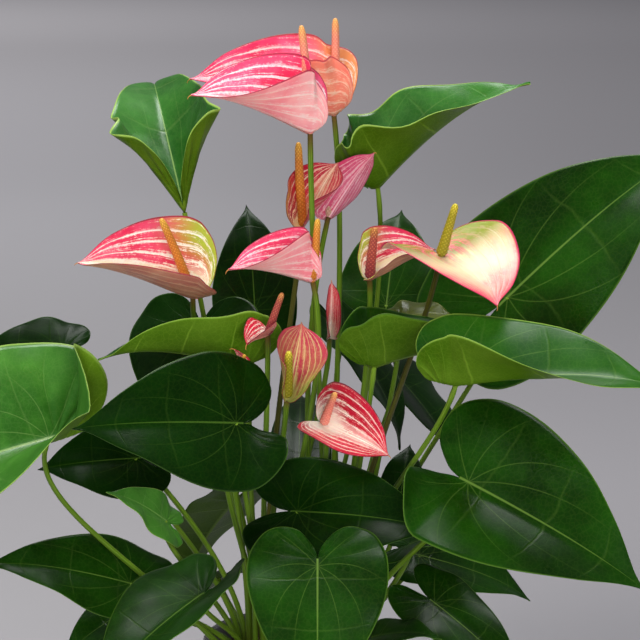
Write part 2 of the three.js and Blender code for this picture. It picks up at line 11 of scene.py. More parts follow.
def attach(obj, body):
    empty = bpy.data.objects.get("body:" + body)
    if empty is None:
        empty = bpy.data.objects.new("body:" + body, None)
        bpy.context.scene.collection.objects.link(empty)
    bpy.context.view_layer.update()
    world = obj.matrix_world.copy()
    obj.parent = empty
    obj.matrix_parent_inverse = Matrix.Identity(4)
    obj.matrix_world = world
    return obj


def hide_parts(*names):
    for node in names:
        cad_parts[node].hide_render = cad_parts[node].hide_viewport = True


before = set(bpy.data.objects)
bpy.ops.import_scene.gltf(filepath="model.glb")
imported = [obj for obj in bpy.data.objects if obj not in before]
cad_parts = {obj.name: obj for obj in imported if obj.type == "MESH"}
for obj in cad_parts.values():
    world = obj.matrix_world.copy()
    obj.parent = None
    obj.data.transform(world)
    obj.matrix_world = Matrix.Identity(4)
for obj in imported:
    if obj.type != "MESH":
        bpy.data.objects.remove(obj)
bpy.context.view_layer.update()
scene = bpy.context.scene
mm = 0.001
print("frame loaded:", len(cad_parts), "nodes")


def linear(code):
    shares = [int(code[i:i + 2], 16) / 255 for i in (1, 3, 5)]
    return tuple(c / 12.92 if c <= 0.04045 else ((c + 0.055) / 1.055) ** 2.4 for c in shares) + (1.0,)


# A value that a material's nodes work out. A sum on it adds the node for that sum.
class Value:
    def __init__(self, finish, socket):
        self.finish, self.socket = finish, socket

    def calc(self, operation, *others):
        return self.finish.calc(operation, self, *others)

    def __add__(self, other):
        return self.calc("ADD", other)

    def __sub__(self, other):
        return self.calc("SUBTRACT", other)

    def __rsub__(self, other):
        return self.finish.calc("SUBTRACT", other, self)

    def __mul__(self, other):
        return self.calc("MULTIPLY", other)

    def __truediv__(self, other):
        return self.calc("DIVIDE", other)

    def __pow__(self, other):
        return self.calc("POWER", other)

    def __abs__(self):
        return self.calc("ABSOLUTE")

    # Runs smoothly from start to end while the value goes from low to high
    def between(self, low, high, start=0.0, end=1.0):
        sockets = {"Value": self, "From Min": low, "From Max": high, "To Min": start, "To Max": end}
        return self.finish.add("MapRange", sockets, "Result", interpolation_type="SMOOTHSTEP")

    def fading(self, low, high, end=0.0):
        return self.between(low, high, 1.0, end)

    # Lines of a width where the value is halfway between two whole numbers
    def lines(self, width):
        return abs(self.calc("FRACT") - 0.5).fading(0.0, width)


# A material in the making, whose colour is laid on coat by coat
class Finish:
    def __init__(self, name, colour):
        self.material = bpy.data.materials.new(name)
        self.material.use_nodes = True
        self.tree = self.material.node_tree
        self.shader = self.tree.nodes["Principled BSDF"]
        self.colour = colour

    # Sets a socket to a number, to a colour by its code or to another node's value
    def give(self, socket, value):
        if isinstance(value, Value):
            self.tree.links.new(value.socket, socket)
        else:
            socket.default_value = linear(value) if isinstance(value, str) else value

    def add(self, kind, sockets, output=0, **settings):
        node = self.tree.nodes.new("ShaderNode" + kind)
        for setting, choice in settings.items():
            setattr(node, setting, choice)
        for socket, value in sockets.items():
            self.give(node.inputs[socket], value)
        return Value(self, node.outputs[output])

    def calc(self, operation, *values):
        return self.add("Math", dict(enumerate(values)), operation=operation)

    def blend(self, share, first, second, kind="MIX"):
        return self.add("Mix", {0: share, 6: first, 7: second}, 2, data_type="RGBA", blend_type=kind)

    # Lays a share of a colour over what is there
    def coat(self, colour, share, kind="MIX"):
        self.colour = self.blend(share, self.colour, colour, kind)

    def split(self, vector):
        first = self.add("SeparateXYZ", {0: vector})
        return first, Value(self, first.socket.node.outputs[1])

    def joined(self, first, second):
        return self.add("CombineXYZ", {0: first, 1: second})

    def uv(self, layer):
        return self.split(self.add("UVMap", {}, uv_map=layer))

    # Where a point lies on its half of a blade: its share from the midrib to the margin, and its row from the
    # tip round the back lobe to the notch
    def halfBlade(self):
        signed, row = self.uv("fine")
        return abs(signed), row

    def place(self):
        return self.add("TexCoord", {}, "Object")

    def grain(self, vector, scale, detail=3.0, roughness=0.55):
        sockets = {"Vector": vector, "Scale": scale, "Detail": detail, "Roughness": roughness}
        return self.add("TexNoise", sockets)

    def cells(self, vector, scale):
        sockets = {"Vector": vector, "Scale": scale}
        return self.add("TexVoronoi", sockets, "Distance", feature="DISTANCE_TO_EDGE")

    def set(self, sockets):
        for socket, value in sockets.items():
            self.give(self.shader.inputs[socket], value)

    # Raises the surface by a level, to a depth in metres
    def bump(self, level, depth, strength):
        self.set({"Normal": self.add("Bump", {"Distance": depth, "Strength": strength, "Height": level})})

    def done(self, roughness, specular=0.5):
        self.set({"Base Color": self.colour, "Roughness": roughness, "Specular IOR Level": specular})
        return self.material


def larger(first, second):
    return second.calc("MAXIMUM", first)


def distanceOf(across, forward):
    return (across ** 2.0 + forward ** 2.0).calc("SQRT")


# Camera, floor and light
view = {"target": (17, 0, 432), "distance": 2000, "elevation": 11, "field": 544}
softboxes = {
    "key": {"place": (-1.25, -1.7, 2.55), "size": 1.3, "power": 58, "colour": (1.0, 0.985, 0.96)},
    "fill": {"place": (0.7, -2.9, 0.6), "size": 2.2, "power": 78, "colour": (0.97, 0.98, 1.0)},
    "top": {"place": (0.1, 0.5, 2.8), "size": 1.5, "power": 60, "colour": (1.0, 1.0, 1.0), "glossy": True},
    "ground": {"place": (-3.2, 10.0, 5.0), "size": 5.0, "power": 280, "colour": (1.0, 0.99, 1.0),
               "aim": (0.2, 10.5, 0.0)},
}
# The ground's tones are painted light: lighter at its left side than at its right, a lighter band behind the
# plant, and painted shade near it; depths in metres
ground = {
    "radius": 40, "segments": 96, "left": "#a8a6a9", "right": "#9c9a9e", "leftMiddle": "#e2e0e4",
    "rightMiddle": "#b6b4b8", "span": 0.3, "widening": 0.5, "widthHere": 1.2, "band": (1.4, 3.8),
    "bandEnd": (4.4, 9.0), "near": 0.84, "paintedShadeReach": 2.2, "roughness": 0.8, "specular": 0.2,
}
surroundings = {"colour": (0.62, 0.62, 0.65, 1.0), "strength": 0.3}


def addCamera():
    tilt = math.radians(view["elevation"])
    data = bpy.data.cameras.new("camera")
    data.angle = 2 * math.atan(view["field"] / 2 / view["distance"])
    camera = bpy.data.objects.new("camera", data)
    back = Vector((0, -math.cos(tilt), math.sin(tilt)))
    camera.location = (Vector(view["target"]) + back * view["distance"]) * mm
    camera.rotation_euler = (math.radians(90) - tilt, 0, 0)
    scene.collection.objects.link(camera)
    scene.camera = camera


def addLight(name, box):
    data = bpy.data.lights.new(name, "AREA")
    data.shape = "DISK"
    data.size = box["size"]
    data.energy = box["power"]
    data.color = box["colour"]
    light = bpy.data.objects.new(name, data)
    light.location = box["place"]
    light.visible_glossy = box.get("glossy", False)
    aim = Vector(box.get("aim", Vector(view["target"]) * mm)) - light.location
    light.rotation_euler = aim.to_track_quat("-Z", "Y").to_euler()
    scene.collection.objects.link(light)


def paintedLightGroundFinish():
    finish = Finish("floor", ground["left"])
    x, y = finish.split(finish.place())
    depth = abs(y)
    width = depth * ground["widening"] + ground["widthHere"]
    sideways = (x / width).between(-ground["span"], ground["span"])
    # Painted light: the colour darkens from the left side to the right
    finish.coat(ground["right"], sideways)
    # Painted light: a lighter band some metres behind the plant
    middle = finish.blend(sideways, ground["leftMiddle"], ground["rightMiddle"])
    finish.coat(middle, depth.between(*ground["band"]) * depth.fading(*ground["bandEnd"]))
    # Painted shade: darker near the plant, fading out over its reach
    finish.coat(depth.between(0.0, ground["paintedShadeReach"], ground["near"]), 1.0, "MULTIPLY")
    return finish.done(ground["roughness"], ground["specular"])


def addStage():
    world = scene.world or bpy.data.worlds.new("studio")
    scene.world = world
    world.use_nodes = True
    background = world.node_tree.nodes["Background"]
    background.inputs["Color"].default_value = surroundings["colour"]
    background.inputs["Strength"].default_value = surroundings["strength"]
    mesh = bpy.data.meshes.new("floor")
    shape = bmesh.new()
    bmesh.ops.create_circle(shape, cap_ends=True, segments=ground["segments"], radius=ground["radius"])
    shape.to_mesh(mesh)
    shape.free()
    floor = bpy.data.objects.new("floor", mesh)
    scene.collection.objects.link(floor)
    mesh.materials.append(paintedLightGroundFinish())


addCamera()
addStage()
for lightName, box in softboxes.items():
    addLight(lightName, box)
scene.view_settings.view_transform = "Standard"
print("camera, light and floor set")

# Blade outlines, from the tip round the back lobe to the notch: (across, along), with the tip at 1
notchPlace = -0.05
lobeReach = 0.34
leafOutline = [
    (0, 1), (0.045, 0.9), (0.2, 0.7), (0.36, 0.45), (0.455, 0.17), (0.45, -0.08),
    (0.37, -0.27), (0.24, -0.34), (0.12, -0.3), (0.025, -0.16), (0, notchPlace),
]
spatheOutline = [
    (0, 1), (0.05, 0.93), (0.21, 0.77), (0.38, 0.5), (0.47, 0.2), (0.45, -0.04),
    (0.36, -0.2), (0.23, -0.25), (0.11, -0.2), (0.025, -0.12), (0, notchPlace),
]

# A blade's shape where its own entry doesn't say: angles in degrees, and sets of three at lobes, joint, tip
leafShape = {
    "roll": 0, "lobes": 1, "droop": 15, "tipDroop": 25, "lift": 12, "fold": (12, 14, 22),
    "curl": (-22, -20, -10), "funnel": 0, "wave": 3, "waves": 1.5, "bend": (0, 0), "look": "deep",
    "rows": 72, "columns": 16, "thickness": 0.9, "quilt": 0.45, "ripple": 0.5,
}
spatheShape = {
    "girth": 4.6, "roll": 0, "lobes": 1, "droop": 5, "tipDroop": 25, "lift": 20, "fold": (25, 25, 30),
    "curl": (15, 10, 0), "funnel": 25, "wave": 1, "waves": 1, "bend": (0, 0), "look": "pink",
    "spike": "orange", "rows": 72, "columns": 18, "thickness": 0.9, "quilt": 0.3, "ripple": 0.25,
}
# What all blades share: steps of their bends, the crease at the midrib, the start of the left half's waves,
# the rake and crowding of their rows of points, the thinner margin, and the midrib's size in millimetres
bladeForm = {
    "stepsAlong": 10, "stepsAcross": 6, "crease": 0.05, "leftWave": 1.9, "rake": 0.35, "crowding": 0.9,
    "marginTaper": 0.85, "rib": 1.3, "ribTaper": 0.75, "ribAbove": 0.25,
}


def smooth(t):
    return t * t * (3 - 2 * t)


def unit(vectors):
    return vectors / np.linalg.norm(vectors, axis=-1, keepdims=True)


def valueAlong(values, y):
    back, middle, tip = values
    behind = middle + (back - middle) * smooth(np.clip(-y / lobeReach, 0, 1))
    ahead = middle + (tip - middle) * smooth(np.clip(y, 0, 1))
    return np.radians(np.where(y < 0, behind, ahead))


def spineSlope(shape, y):
    behind = math.radians(shape["lift"]) * np.maximum(-1, y / lobeReach)
    return np.where(y < 0, behind, -np.radians(shape["droop"] * y + shape["tipDroop"] * y ** 3))


# The midrib's place and slope at shares of the blade's length
def spineAt(shape, y):
    steps = bladeForm["stepsAlong"]
    forward, up = 0 * y, 0 * y
    for i in range(steps):
        slope = spineSlope(shape, y * (i + 0.5) / steps)
        forward = forward + np.cos(slope) * y / steps
        up = up + np.sin(slope) * y / steps
    return forward, up, spineSlope(shape, y)


# Points of the blade in its own frame: x to the right of the midrib, y towards the tip, z up
def bladePoints(shape, side, across, forward):
    half = {**shape, **shape.get("right" if side > 0 else "left", {})}
    fold = valueAlong(half["fold"], forward)
    curl = valueAlong(half["curl"], forward)
    reach = shape["width"] / shape["length"] / 2
    steps = bladeForm["stepsAcross"]
    out, rise = 0 * across, 0 * across
    for i in range(steps):
        s = across * (i + 0.5) / steps
        angle = fold * np.minimum(1, s / bladeForm["crease"]) + curl * s / reach
        out = out + np.cos(angle) * across / steps
        rise = rise + np.sin(angle) * across / steps
    beat = 2 * math.pi * half["waves"] * forward + (0 if side > 0 else bladeForm["leftWave"])
    rise = rise + half["wave"] / shape["length"] * (across / reach) ** 2 * np.sin(beat)
    spineForward, spineUp, slope = spineAt(shape, forward)
    x = side * out
    y = spineForward - rise * np.sin(slope)
    z = spineUp + rise * np.cos(slope)
    return funnelled(shape, x, y, z) * shape["length"]


# Lifts every line that runs out from the stem joint, so that the blade closes up round it like a funnel
def funnelled(shape, x, y, z):
    tilt = math.radians(90 - shape["funnel"])
    sine, cosine = math.sin(tilt), math.cos(tilt)
    turn, reach = np.arctan2(x, y), np.hypot(x, y)
    behind = 1 - np.cos(turn)
    return np.stack([
        (reach * sine - z * cosine) * np.sin(turn),
        reach * (1 - sine * sine * behind) + z * sine * cosine * behind,
        reach * sine * cosine * behind + z * (1 - cosine * cosine * behind),
    ], axis=-1)


# Evenly spaced points of a smooth curve through an outline
def outlinePoints(outline, count):
    points = np.array(outline, float)
    t = np.linspace(0, 1, count) * (len(points) - 1)
    k = np.minimum(t.astype(int), len(points) - 2)
    w = (t - k)[:, None]
    before, first, second, after = (points[np.clip(k + step, 0, len(points) - 1)] for step in (-1, 0, 1, 2))
    start, end = (second - before) / 2, (after - first) / 2
    cubic = (2 * first - 2 * second + start + end) * w ** 3
    return cubic + (3 * (second - first) - 2 * start - end) * w ** 2 + start * w + first


# Sets a blade's stem joint at its place and its tip at its own, rolled about the line between them
def placeBlade(entry, defaults):
    shape = {**defaults, **entry}
    at, tip = np.array(shape["at"], float), np.array(shape["tip"], float)
    spineForward, spineUp, _ = spineAt(shape, np.array(1.0))
    chord = np.linalg.norm(tip - at)
    shape["length"] = float(chord / math.hypot(spineForward, spineUp))
    towards = (tip - at) / chord
    left = unit(np.array([-towards[1], towards[0], 0]))
    above = np.cross(towards, left)
    roll = math.radians(shape["roll"])
    left, above = (left * math.cos(roll) + above * math.sin(roll),
                   above * math.cos(roll) - left * math.sin(roll))
    sag = math.atan2(-spineUp, spineForward)
    shape["forward"] = towards * math.cos(sag) + above * math.sin(sag)
    shape["up"] = above * math.cos(sag) - towards * math.sin(sag)
    shape["axes"] = np.array([-left, shape["forward"], shape["up"]])
    shape["at"] = at
    return shape


# The blade's middle surface as a grid of points for each half, from the tip round to the notch
def bladeGrid(shape, outline):
    rows, columns = shape["rows"], shape["columns"]
    edge = outlinePoints(outline, rows + 1)
    widest = max(x for x, _ in outline)
    edge[:, 1] = np.where(edge[:, 1] < notchPlace,
                          notchPlace + (edge[:, 1] - notchPlace) * shape["lobes"], edge[:, 1])
    inner = np.maximum(notchPlace, edge[:, 1] - bladeForm["rake"] * edge[:, 0])
    share = np.linspace(0, 1, columns + 1) ** bladeForm["crowding"]
    row = np.linspace(0, 1, rows + 1)
    across = np.maximum(0, edge[:, 0])[:, None] * share * shape["width"] / shape["length"] / 2 / widest
    forward = inner[:, None] + (edge[:, 1] - inner)[:, None] * share
    points = np.stack([bladePoints(shape, side, across, forward) for side in (1, -1)])
    size = (2, rows + 1, columns + 1)
    sides = np.array([1, -1])[:, None, None]
    return {
        "points": points, "share": np.broadcast_to(share, size), "row": np.broadcast_to(row[:, None], size),
        "signed": np.broadcast_to(share, size) * sides, "across": np.broadcast_to(across, size) * sides,
        "forward": np.broadcast_to(forward, size), "lobe": inner <= notchPlace,
    }


def gridNormals(grid):
    points = grid["points"]
    normals = np.cross(np.gradient(points, axis=2), np.gradient(points, axis=1))
    normals[0] *= -1
    lengths = np.linalg.norm(normals, axis=-1, keepdims=True)
    normals = np.where(lengths > 1e-9, normals / np.maximum(lengths, 1e-9), 0)
    normals[:, 0] = normals[:, 1].mean(axis=(0, 1))
    normals[:, -1] = normals[:, -2]
    normals[:, :, 0] = normals[:, :, :2].mean(axis=(0, 2))
    normals[:, grid["lobe"], 0] = normals[:, grid["lobe"], 1].mean(axis=(0, 1))
    return normals / np.maximum(np.linalg.norm(normals, axis=-1, keepdims=True), 1e-9)


# Collects points, faces, texture places and finishes for one mesh object
class Body:
    weld = {"dist": 2e-5, "flatEdge": 1e-6}  # metres

    def __init__(self):
        self.points, self.faces, self.finish, self.fine, self.flat = [], [], [], [], []

    def add(self, points, faces, fine, flat, finish):
        start = sum(len(block) for block in self.points)
        self.points.append(np.asarray(points, float).reshape(-1, 3))
        self.faces.append(np.asarray(faces) + start)
        self.fine.append(np.asarray(fine, float).reshape(-1, 2))
        self.flat.append(np.asarray(flat, float).reshape(-1, 2))
        self.finish.append(np.full(len(faces), finish))

    def build(self, name, materials, slot, *nodes):
        points, faces = np.concatenate(self.points), np.concatenate(self.faces)
        mesh = bpy.data.meshes.new(name)
        mesh.from_pydata((points * mm).tolist(), [], faces.tolist())
        for layer, places in (("fine", self.fine), ("flat", self.flat)):
            uv = mesh.uv_layers.new(name=layer)
            uv.data.foreach_set("uv", np.concatenate(places)[faces.ravel()].ravel())
        mesh.polygons.foreach_set("material_index", np.concatenate(self.finish).astype(int))
        for material in materials:
            mesh.materials.append(material)
        shape = bmesh.new()
        shape.from_mesh(mesh)
        bmesh.ops.remove_doubles(shape, verts=shape.verts, dist=self.weld["dist"])
        bmesh.ops.dissolve_degenerate(shape, edges=shape.edges, dist=self.weld["flatEdge"])
        shape.to_mesh(mesh)
        shape.free()
        mesh.polygons.foreach_set("use_smooth", [True] * len(mesh.polygons))
        piece = bpy.data.objects.new(name, mesh)
        scene.collection.objects.link(piece)
        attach(piece, "root")
        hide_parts(*nodes)


def quads(rows, columns, flip=False):
    i, j = np.meshgrid(np.arange(rows), np.arange(columns), indexing="ij")
    here = i * (columns + 1) + j
    below = here + columns + 1
    order = (here, here + 1, below + 1, below) if flip else (here, below, below + 1, here + 1)
    return np.stack([corner.ravel() for corner in order], axis=1)


# A thin blade with both faces, a rounded margin and a midrib that stands out underneath. Its three finishes
# are the upper face, the underside and the margin.
def addBlade(body, shape, outline, relief):
    grid = bladeGrid(shape, outline)
    rows, columns = shape["rows"], shape["columns"]
    normals = gridNormals(grid)
    share, forward = grid["share"], grid["forward"]
    surface = grid["points"] + normals * relief(shape, grid)[..., None]
    half = shape["thickness"] / 2 * np.sqrt(1 - bladeForm["marginTaper"] * share ** 8)
    rib = bladeForm["rib"] * np.exp(-(grid["across"] * shape["length"] / bladeForm["rib"]) ** 2)
    rib = rib * (1 - bladeForm["ribTaper"] * np.clip(forward, 0, 1)) * (forward > notchPlace + 0.01)
    upper = surface + normals * (half + bladeForm["ribAbove"] * rib)[..., None]
    under = surface - normals * (half + rib)[..., None]
    upper, under = (face @ shape["axes"] + shape["at"] for face in (upper, under))
    fine = np.stack([grid["signed"], grid["row"]], axis=-1)
    flat = np.stack([grid["across"], forward], axis=-1)
    for k in (0, 1):
        body.add(upper[k], quads(rows, columns, flip=k == 1), fine[k], flat[k], 0)
        body.add(under[k], quads(rows, columns, flip=k == 0), fine[k], flat[k], 1)
        rim, fineRim, flatRim = (np.stack([pair[0][k, :, -1], pair[1][k, :, -1]], axis=1)
                                 for pair in ((upper, under), (fine, fine), (flat, flat)))
        body.add(rim, quads(rows, 1, flip=k == 1), fineRim, flatRim, 2)


# A tube along a course, with a radius at each of its points and closed ends
def addTube(body, course, radii, sides, finish, relief=None):
    tangents = unit(np.gradient(course, axis=0))
    reference = np.array([0.3, 1.0, 0.1]) if abs(tangents[0, 2]) > 0.5 else np.array([0.1, 0.2, 1.0])
    first = unit(np.cross(tangents, reference))
    second = np.cross(tangents, first)
    angle = np.linspace(0, 2 * math.pi, sides + 1)
    shares = np.linspace(0, 1, len(course))
    size = radii[:, None] + 0 * angle
    if relief:
        size = size * relief(shares[:, None], angle[None])
    spokes = np.cos(angle)[:, None] * first[:, None] + np.sin(angle)[:, None] * second[:, None]
    rings = course[:, None] + size[..., None] * spokes
    ends = np.broadcast_to(course[[0, -1], None], (2, sides + 1, 3))
    rings = np.concatenate([ends[:1], rings, ends[1:]])
    shares = np.concatenate([[0], shares, [1]])
    along = np.concatenate([[0, 0], np.cumsum(np.linalg.norm(np.diff(course, axis=0), axis=1))])
    along = np.append(along, along[-1])
    fine = np.stack(np.broadcast_arrays(angle / (2 * math.pi), shares[:, None]), axis=-1)
    flat = np.stack(np.broadcast_arrays(angle, along[:, None]), axis=-1)
    body.add(rings, quads(len(rings) - 1, sides), fine, flat, finish)


# Stems: where they rise, how they run up to their blades, how far apart they stand and where they swell, each
# swelling by its share, its place and its reach
stems = {
    "petioleRadius": 2.4, "stalkRadius": 2.6, "planting": 12, "crownRadius": 7, "crownHeight": 14,
    "crowns": {"left": (-30, -4), "right": (26, 4)}, "ring": 20, "drawnIn": 0.035, "stalkRing": 0.4,
    "straight": 0.38, "arrival": 0.25, "below": 0.6, "behind": 0.4,
    "gap": 2.4, "lean": 1.3, "rimClearance": 3, "rimReach": 4, "fused": 40, "rounds": 200, "levelStep": 8,
    "samples": 24, "pace": 0.5, "hold": 0.3,
    "taper": 0.12, "swellings": ((0.16, 0.955, 0.02), (0.35, 0.06, 0.05)), "stalkSwelling": 0.4,
    "rings": 64, "sides": 12,
}
pot = {
    "height": 150, "topRadius": 85, "footRadius": 62, "wall": 3.5, "floor": 4, "rimHeight": 14, "lip": 4,
    "bevel": 2.5, "roll": 2, "inset": 6, "rings": (12, 45, 80, 110), "innerRings": (110, 60), "sides": 128,
}
soil = {
    "level": 134, "dome": 8, "shoulder": (0.75, 0.55), "clearance": 0.3, "rings": 60, "sides": 220,
    "crumbs": ((3.2, 1.1), (9, 1.4)), "sink": 1.6, "calm": 6,  # each size of crumb with its height
}


def potOuter(z):
    slope = (pot["topRadius"] - pot["lip"] - pot["footRadius"]) / (pot["height"] - pot["rimHeight"])
    return pot["footRadius"] + slope * z


def potInner(z):
    return potOuter(z) - pot["wall"]


# A stem's course: up out of the soil from its root, then over to the blade, arriving from below and behind it
def stemFrom(shape, isStalk):
    crown = np.array(stems["crowns"][shape["crown"]], float)
    side = unit(shape["at"][:2] - crown)
    outermost = stems["crownRadius"] + stems["ring"] - stems["drawnIn"] * (shape["at"][2] - soil["level"])
    foot = crown + side * (stems["stalkRing"] * stems["crownRadius"] if isStalk else outermost)
    start = soil["level"] + (soil["dome"] if isStalk else -stems["planting"])
    root = np.array([*foot, start])
    span = np.linalg.norm(shape["at"] - root)
    behind = np.array([*shape["forward"][:2], 0])
    arrival = unit(np.array([0, 0, 1.0]) + stems["below"] * shape["up"] + stems["behind"] * behind)
    bend = np.array([*shape["bend"], 0.0])
    lower = root + bend + np.array([0, 0, stems["straight"] * span])
    upper = shape["at"] - stems["arrival"] * span * arrival + 0.5 * bend
    radius = stems["stalkRadius"] if isStalk else stems["petioleRadius"]
    points = np.array([root, lower, upper, shape["at"]])
    return {"crown": shape["crown"], "isStalk": isStalk, "points": points, "radius": radius}


def bezierWeights(t):
    return np.stack([(1 - t) ** 3, 3 * (1 - t) ** 2 * t, 3 * (1 - t) * t * t, t ** 3], axis=-1)


# Nudges the stems sideways, by all their points but the joint, until at every level they stand clear of each
# other, of the crowns and of the pot's rim
def spreadStems(plan):
    points, radius, isStalk, crowns = (np.array([stem[key] for stem in plan])
                                       for key in ("points", "radius", "isStalk", "crown"))
    fused = isStalk[:, None] & isStalk[None] & (crowns[:, None] == crowns[None])
    crownTop = soil["level"] + stems["crownHeight"]
    levels = np.arange(soil["level"] - stems["planting"] + 1, points[:, 3, 2].max(), stems["levelStep"])
    low = levels < crownTop
    spread = (radius[:, None] + radius[None] + stems["gap"])[..., None] * np.where(low, 1, stems["lean"])
    steps = bezierWeights(np.linspace(0, 1, stems["samples"] + 1))
    room = potInner(soil["level"]) - radius - stems["rimClearance"]
    fused = fused[..., None] & (levels < crownTop + stems["fused"])
    free = ~np.eye(len(plan), dtype=bool)[..., None] & ~fused
    for _ in range(stems["rounds"]):
        course = np.einsum("tk,nkc->ntc", steps, points)
        z = course[..., 2]
        rising = (z[:, :-1, None] <= levels) & (z[:, 1:, None] > levels)
        here, first = rising.any(axis=1), rising.argmax(axis=1)
        before = np.take_along_axis(course, first[..., None], 1)
        after = np.take_along_axis(course, first[..., None] + 1, 1)
        rise = np.where(here, after[..., 2] - before[..., 2], 1)
        share = np.where(here, (levels - before[..., 2]) / rise, 0)
        spot = (before + (after - before) * share[..., None])[..., :2]
        weights = bezierWeights((first + share) / stems["samples"])
        apart = spot[:, None] - spot[None]
        distance = np.maximum(np.linalg.norm(apart, axis=-1), 1e-6)
        close = free & here[:, None] & here[None] & (distance < spread)
        push = 0.5 * ((spread - distance) / distance)[..., None] * apart
        push = np.where(close[..., None], push, 0).sum(axis=1)
        count = close.sum(axis=1).astype(float)
        for crown in stems["crowns"].values():
            away = spot - np.array(crown)
            distance = np.linalg.norm(away, axis=-1)
            short = stems["crownRadius"] + radius[:, None] + stems["gap"] - distance
            near = here & low & ~isStalk[:, None] & (short > 0)
            push += np.where(near[..., None], (short / distance)[..., None] * away, 0)
            count += near
        distance = np.maximum(np.linalg.norm(spot, axis=-1), 1e-6)
        over = here & (levels < pot["height"] + stems["rimReach"]) & (distance > room[:, None])
        push += np.where(over[..., None], (room[:, None] / distance - 1)[..., None] * spot, 0)
        count += over
        moves = np.einsum("nlk,nlc->nkc", weights, push)
        held = np.einsum("nlk,nl->nk", weights ** 2, count) + stems["hold"]
        step = stems["pace"] * moves / held[..., None]
        step[isStalk, 0] = 0
        points[:, :3, :2] += step[:, :3]
    for stem, settled in zip(plan, points):
        stem["points"] = settled


# A stem swells a little at the foot and again just under the blade
def addStem(body, stem, finish):
    t = np.linspace(0, 1, stems["rings"])
    swell = sum(share * np.exp(-((t - place) / reach) ** 2) for share, place, reach in stems["swellings"])
    swell = 1 + swell * (stems["stalkSwelling"] if stem["isStalk"] else 1)
    radii = stem["radius"] * (1 - stems["taper"] * t) * swell
    addTube(body, bezierWeights(t) @ stem["points"], radii, stems["sides"], finish)


# The looks for the shade, for the sun and for half light are darker and lighter copies of the deep look:
# painted shade and painted light.
leafLooks = {
    "deep": {"dark": "#0a2402", "light": "#1a4806", "vein": "#6f8f3c", "under": "#375a03",
             "underVein": "#74942c", "margin": "#45651f", "shine": 0.15},
    "shaded": {"dark": "#041601", "light": "#0b2e02", "vein": "#4c6c24", "under": "#2f4e04",
               "underVein": "#607f26", "margin": "#2f4a18", "shine": 0.11},
    "sunlit": {"dark": "#285a16", "light": "#4d8a2e", "vein": "#a4c274", "under": "#4d7409",
               "underVein": "#86a836", "margin": "#86a648", "shine": 0.4},
    "halfLit": {"dark": "#14400a", "light": "#2a5e10", "vein": "#86a650", "under": "#3f6406",
                "underVein": "#7c9e2e", "margin": "#7a9a3c", "shine": 0.2},
    "freshLeaf": {"dark": "#1a4c12", "light": "#3d7c2b", "vein": "#a0bd6c", "under": "#375602",
                  "underVein": "#6f8f26", "margin": "#8fb04e", "shine": 0.38},
    "yellowLeaf": {"dark": "#46541a", "light": "#7a882c", "vein": "#b0b55c", "under": "#78842a",
                   "underVein": "#abb055", "margin": "#aaa850", "shine": 0.25},
}
leafVeins = {"count": 9, "bend": 0.45, "sweep": 1.6, "width": 0.035, "wobble": 0.2, "ripples": 7}
# Veins that radiate from the joint: where each one sets out, in degrees from the tip, by how many degrees it
# curves forward, and how far it reaches
basalVeins = {"courses": ((30, 20, 0.75), (62, 34, 0.62), (100, 30, 0.5), (138, 6, 0.36)), "width": 0.0045}
# How finely the grain repeats in a metre, and how strongly each mark shows
leafGrain = {"patches": 14, "cloud": 20, "gloss": 22, "wobble": 24, "mottle": 90, "net": 240}
upperMarks = {"patches": 0.55, "mottle": 0.2, "net": 0.035, "laterals": 0.07, "basal": 0.21, "midrib": 0.7}
underMarks = {"cloud": 0.35, "net": 0.16, "laterals": 0.55}


def lateralVeins(finish, share, row):
    swept = row * leafVeins["count"] - share ** leafVeins["sweep"] * leafVeins["bend"]
    swept = swept + finish.grain(finish.place(), leafGrain["wobble"]) * leafVeins["wobble"]
    return swept.lines(leafVeins["width"]) * share.fading(0.55, 1.0, 0.15)


def radiatingVeins(finish):
    across, forward = finish.uv("flat")
    reach = distanceOf(across, forward)
    turn = abs(across).calc("ARCTAN2", forward)
    shown = 0.0
    for start, sweep, end in basalVeins["courses"]:
        course = math.radians(start) - reach * (math.radians(sweep) / end)
        line = (abs(turn - course) * reach).fading(0.0, basalVeins["width"])
        shown = larger(shown, line * reach.fading(0.2 * end, 1.1 * end, 0.1))
    return shown


def leafUpperFinish(name, look):
    finish = Finish(name, look["dark"])
    share, row = finish.halfBlade()
    spot = finish.place()
    laterals, basal = lateralVeins(finish, share, row), radiatingVeins(finish)
    midrib = share.fading(0.006, 0.022) * row.between(0.1, 0.6, 0.45)
    net = finish.cells(spot, leafGrain["net"]).fading(0.0, 0.12)
    patches = finish.grain(spot, leafGrain["patches"], 2).between(0.3, 0.7)
    mottle = finish.grain(spot, leafGrain["mottle"]).between(0.35, 0.75)
    finish.coat(look["light"], patches * upperMarks["patches"] + mottle * upperMarks["mottle"])
    finish.coat(look["vein"], net * upperMarks["net"])
    thin = larger(laterals * upperMarks["laterals"], basal * upperMarks["basal"])
    finish.coat(look["vein"], larger(thin, midrib * upperMarks["midrib"]))
    finish.coat(look["margin"], share.between(0.975, 0.995))
    finish.bump(laterals * -0.8 + net * -0.1, depth=0.0004, strength=0.4)
    return finish.done(finish.grain(spot, leafGrain["gloss"]).between(0.3, 0.7, 0.27, 0.38), look["shine"])


def leafUnderFinish(name, look):
    finish = Finish(name, look["under"])
    share, row = finish.halfBlade()
    spot = finish.place()
    laterals = lateralVeins(finish, share, row)
    net = finish.cells(spot, leafGrain["net"]).fading(0.0, 0.1)
    cloud = finish.grain(spot, leafGrain["cloud"]).between(0.25, 0.75)
    finish.coat(look["underVein"], cloud * underMarks["cloud"])
    finish.coat(look["underVein"], net * underMarks["net"])
    finish.coat(look["underVein"], larger(laterals * underMarks["laterals"], share.fading(0.02, 0.07)))
    finish.coat(look["margin"], share.between(0.965, 0.99))
    finish.bump(laterals + net * 0.2, depth=0.0004, strength=0.6)
    return finish.done(0.45, 0.1)


marginLook = {"dim": 0.75, "grain": 60, "roughness": 0.45}


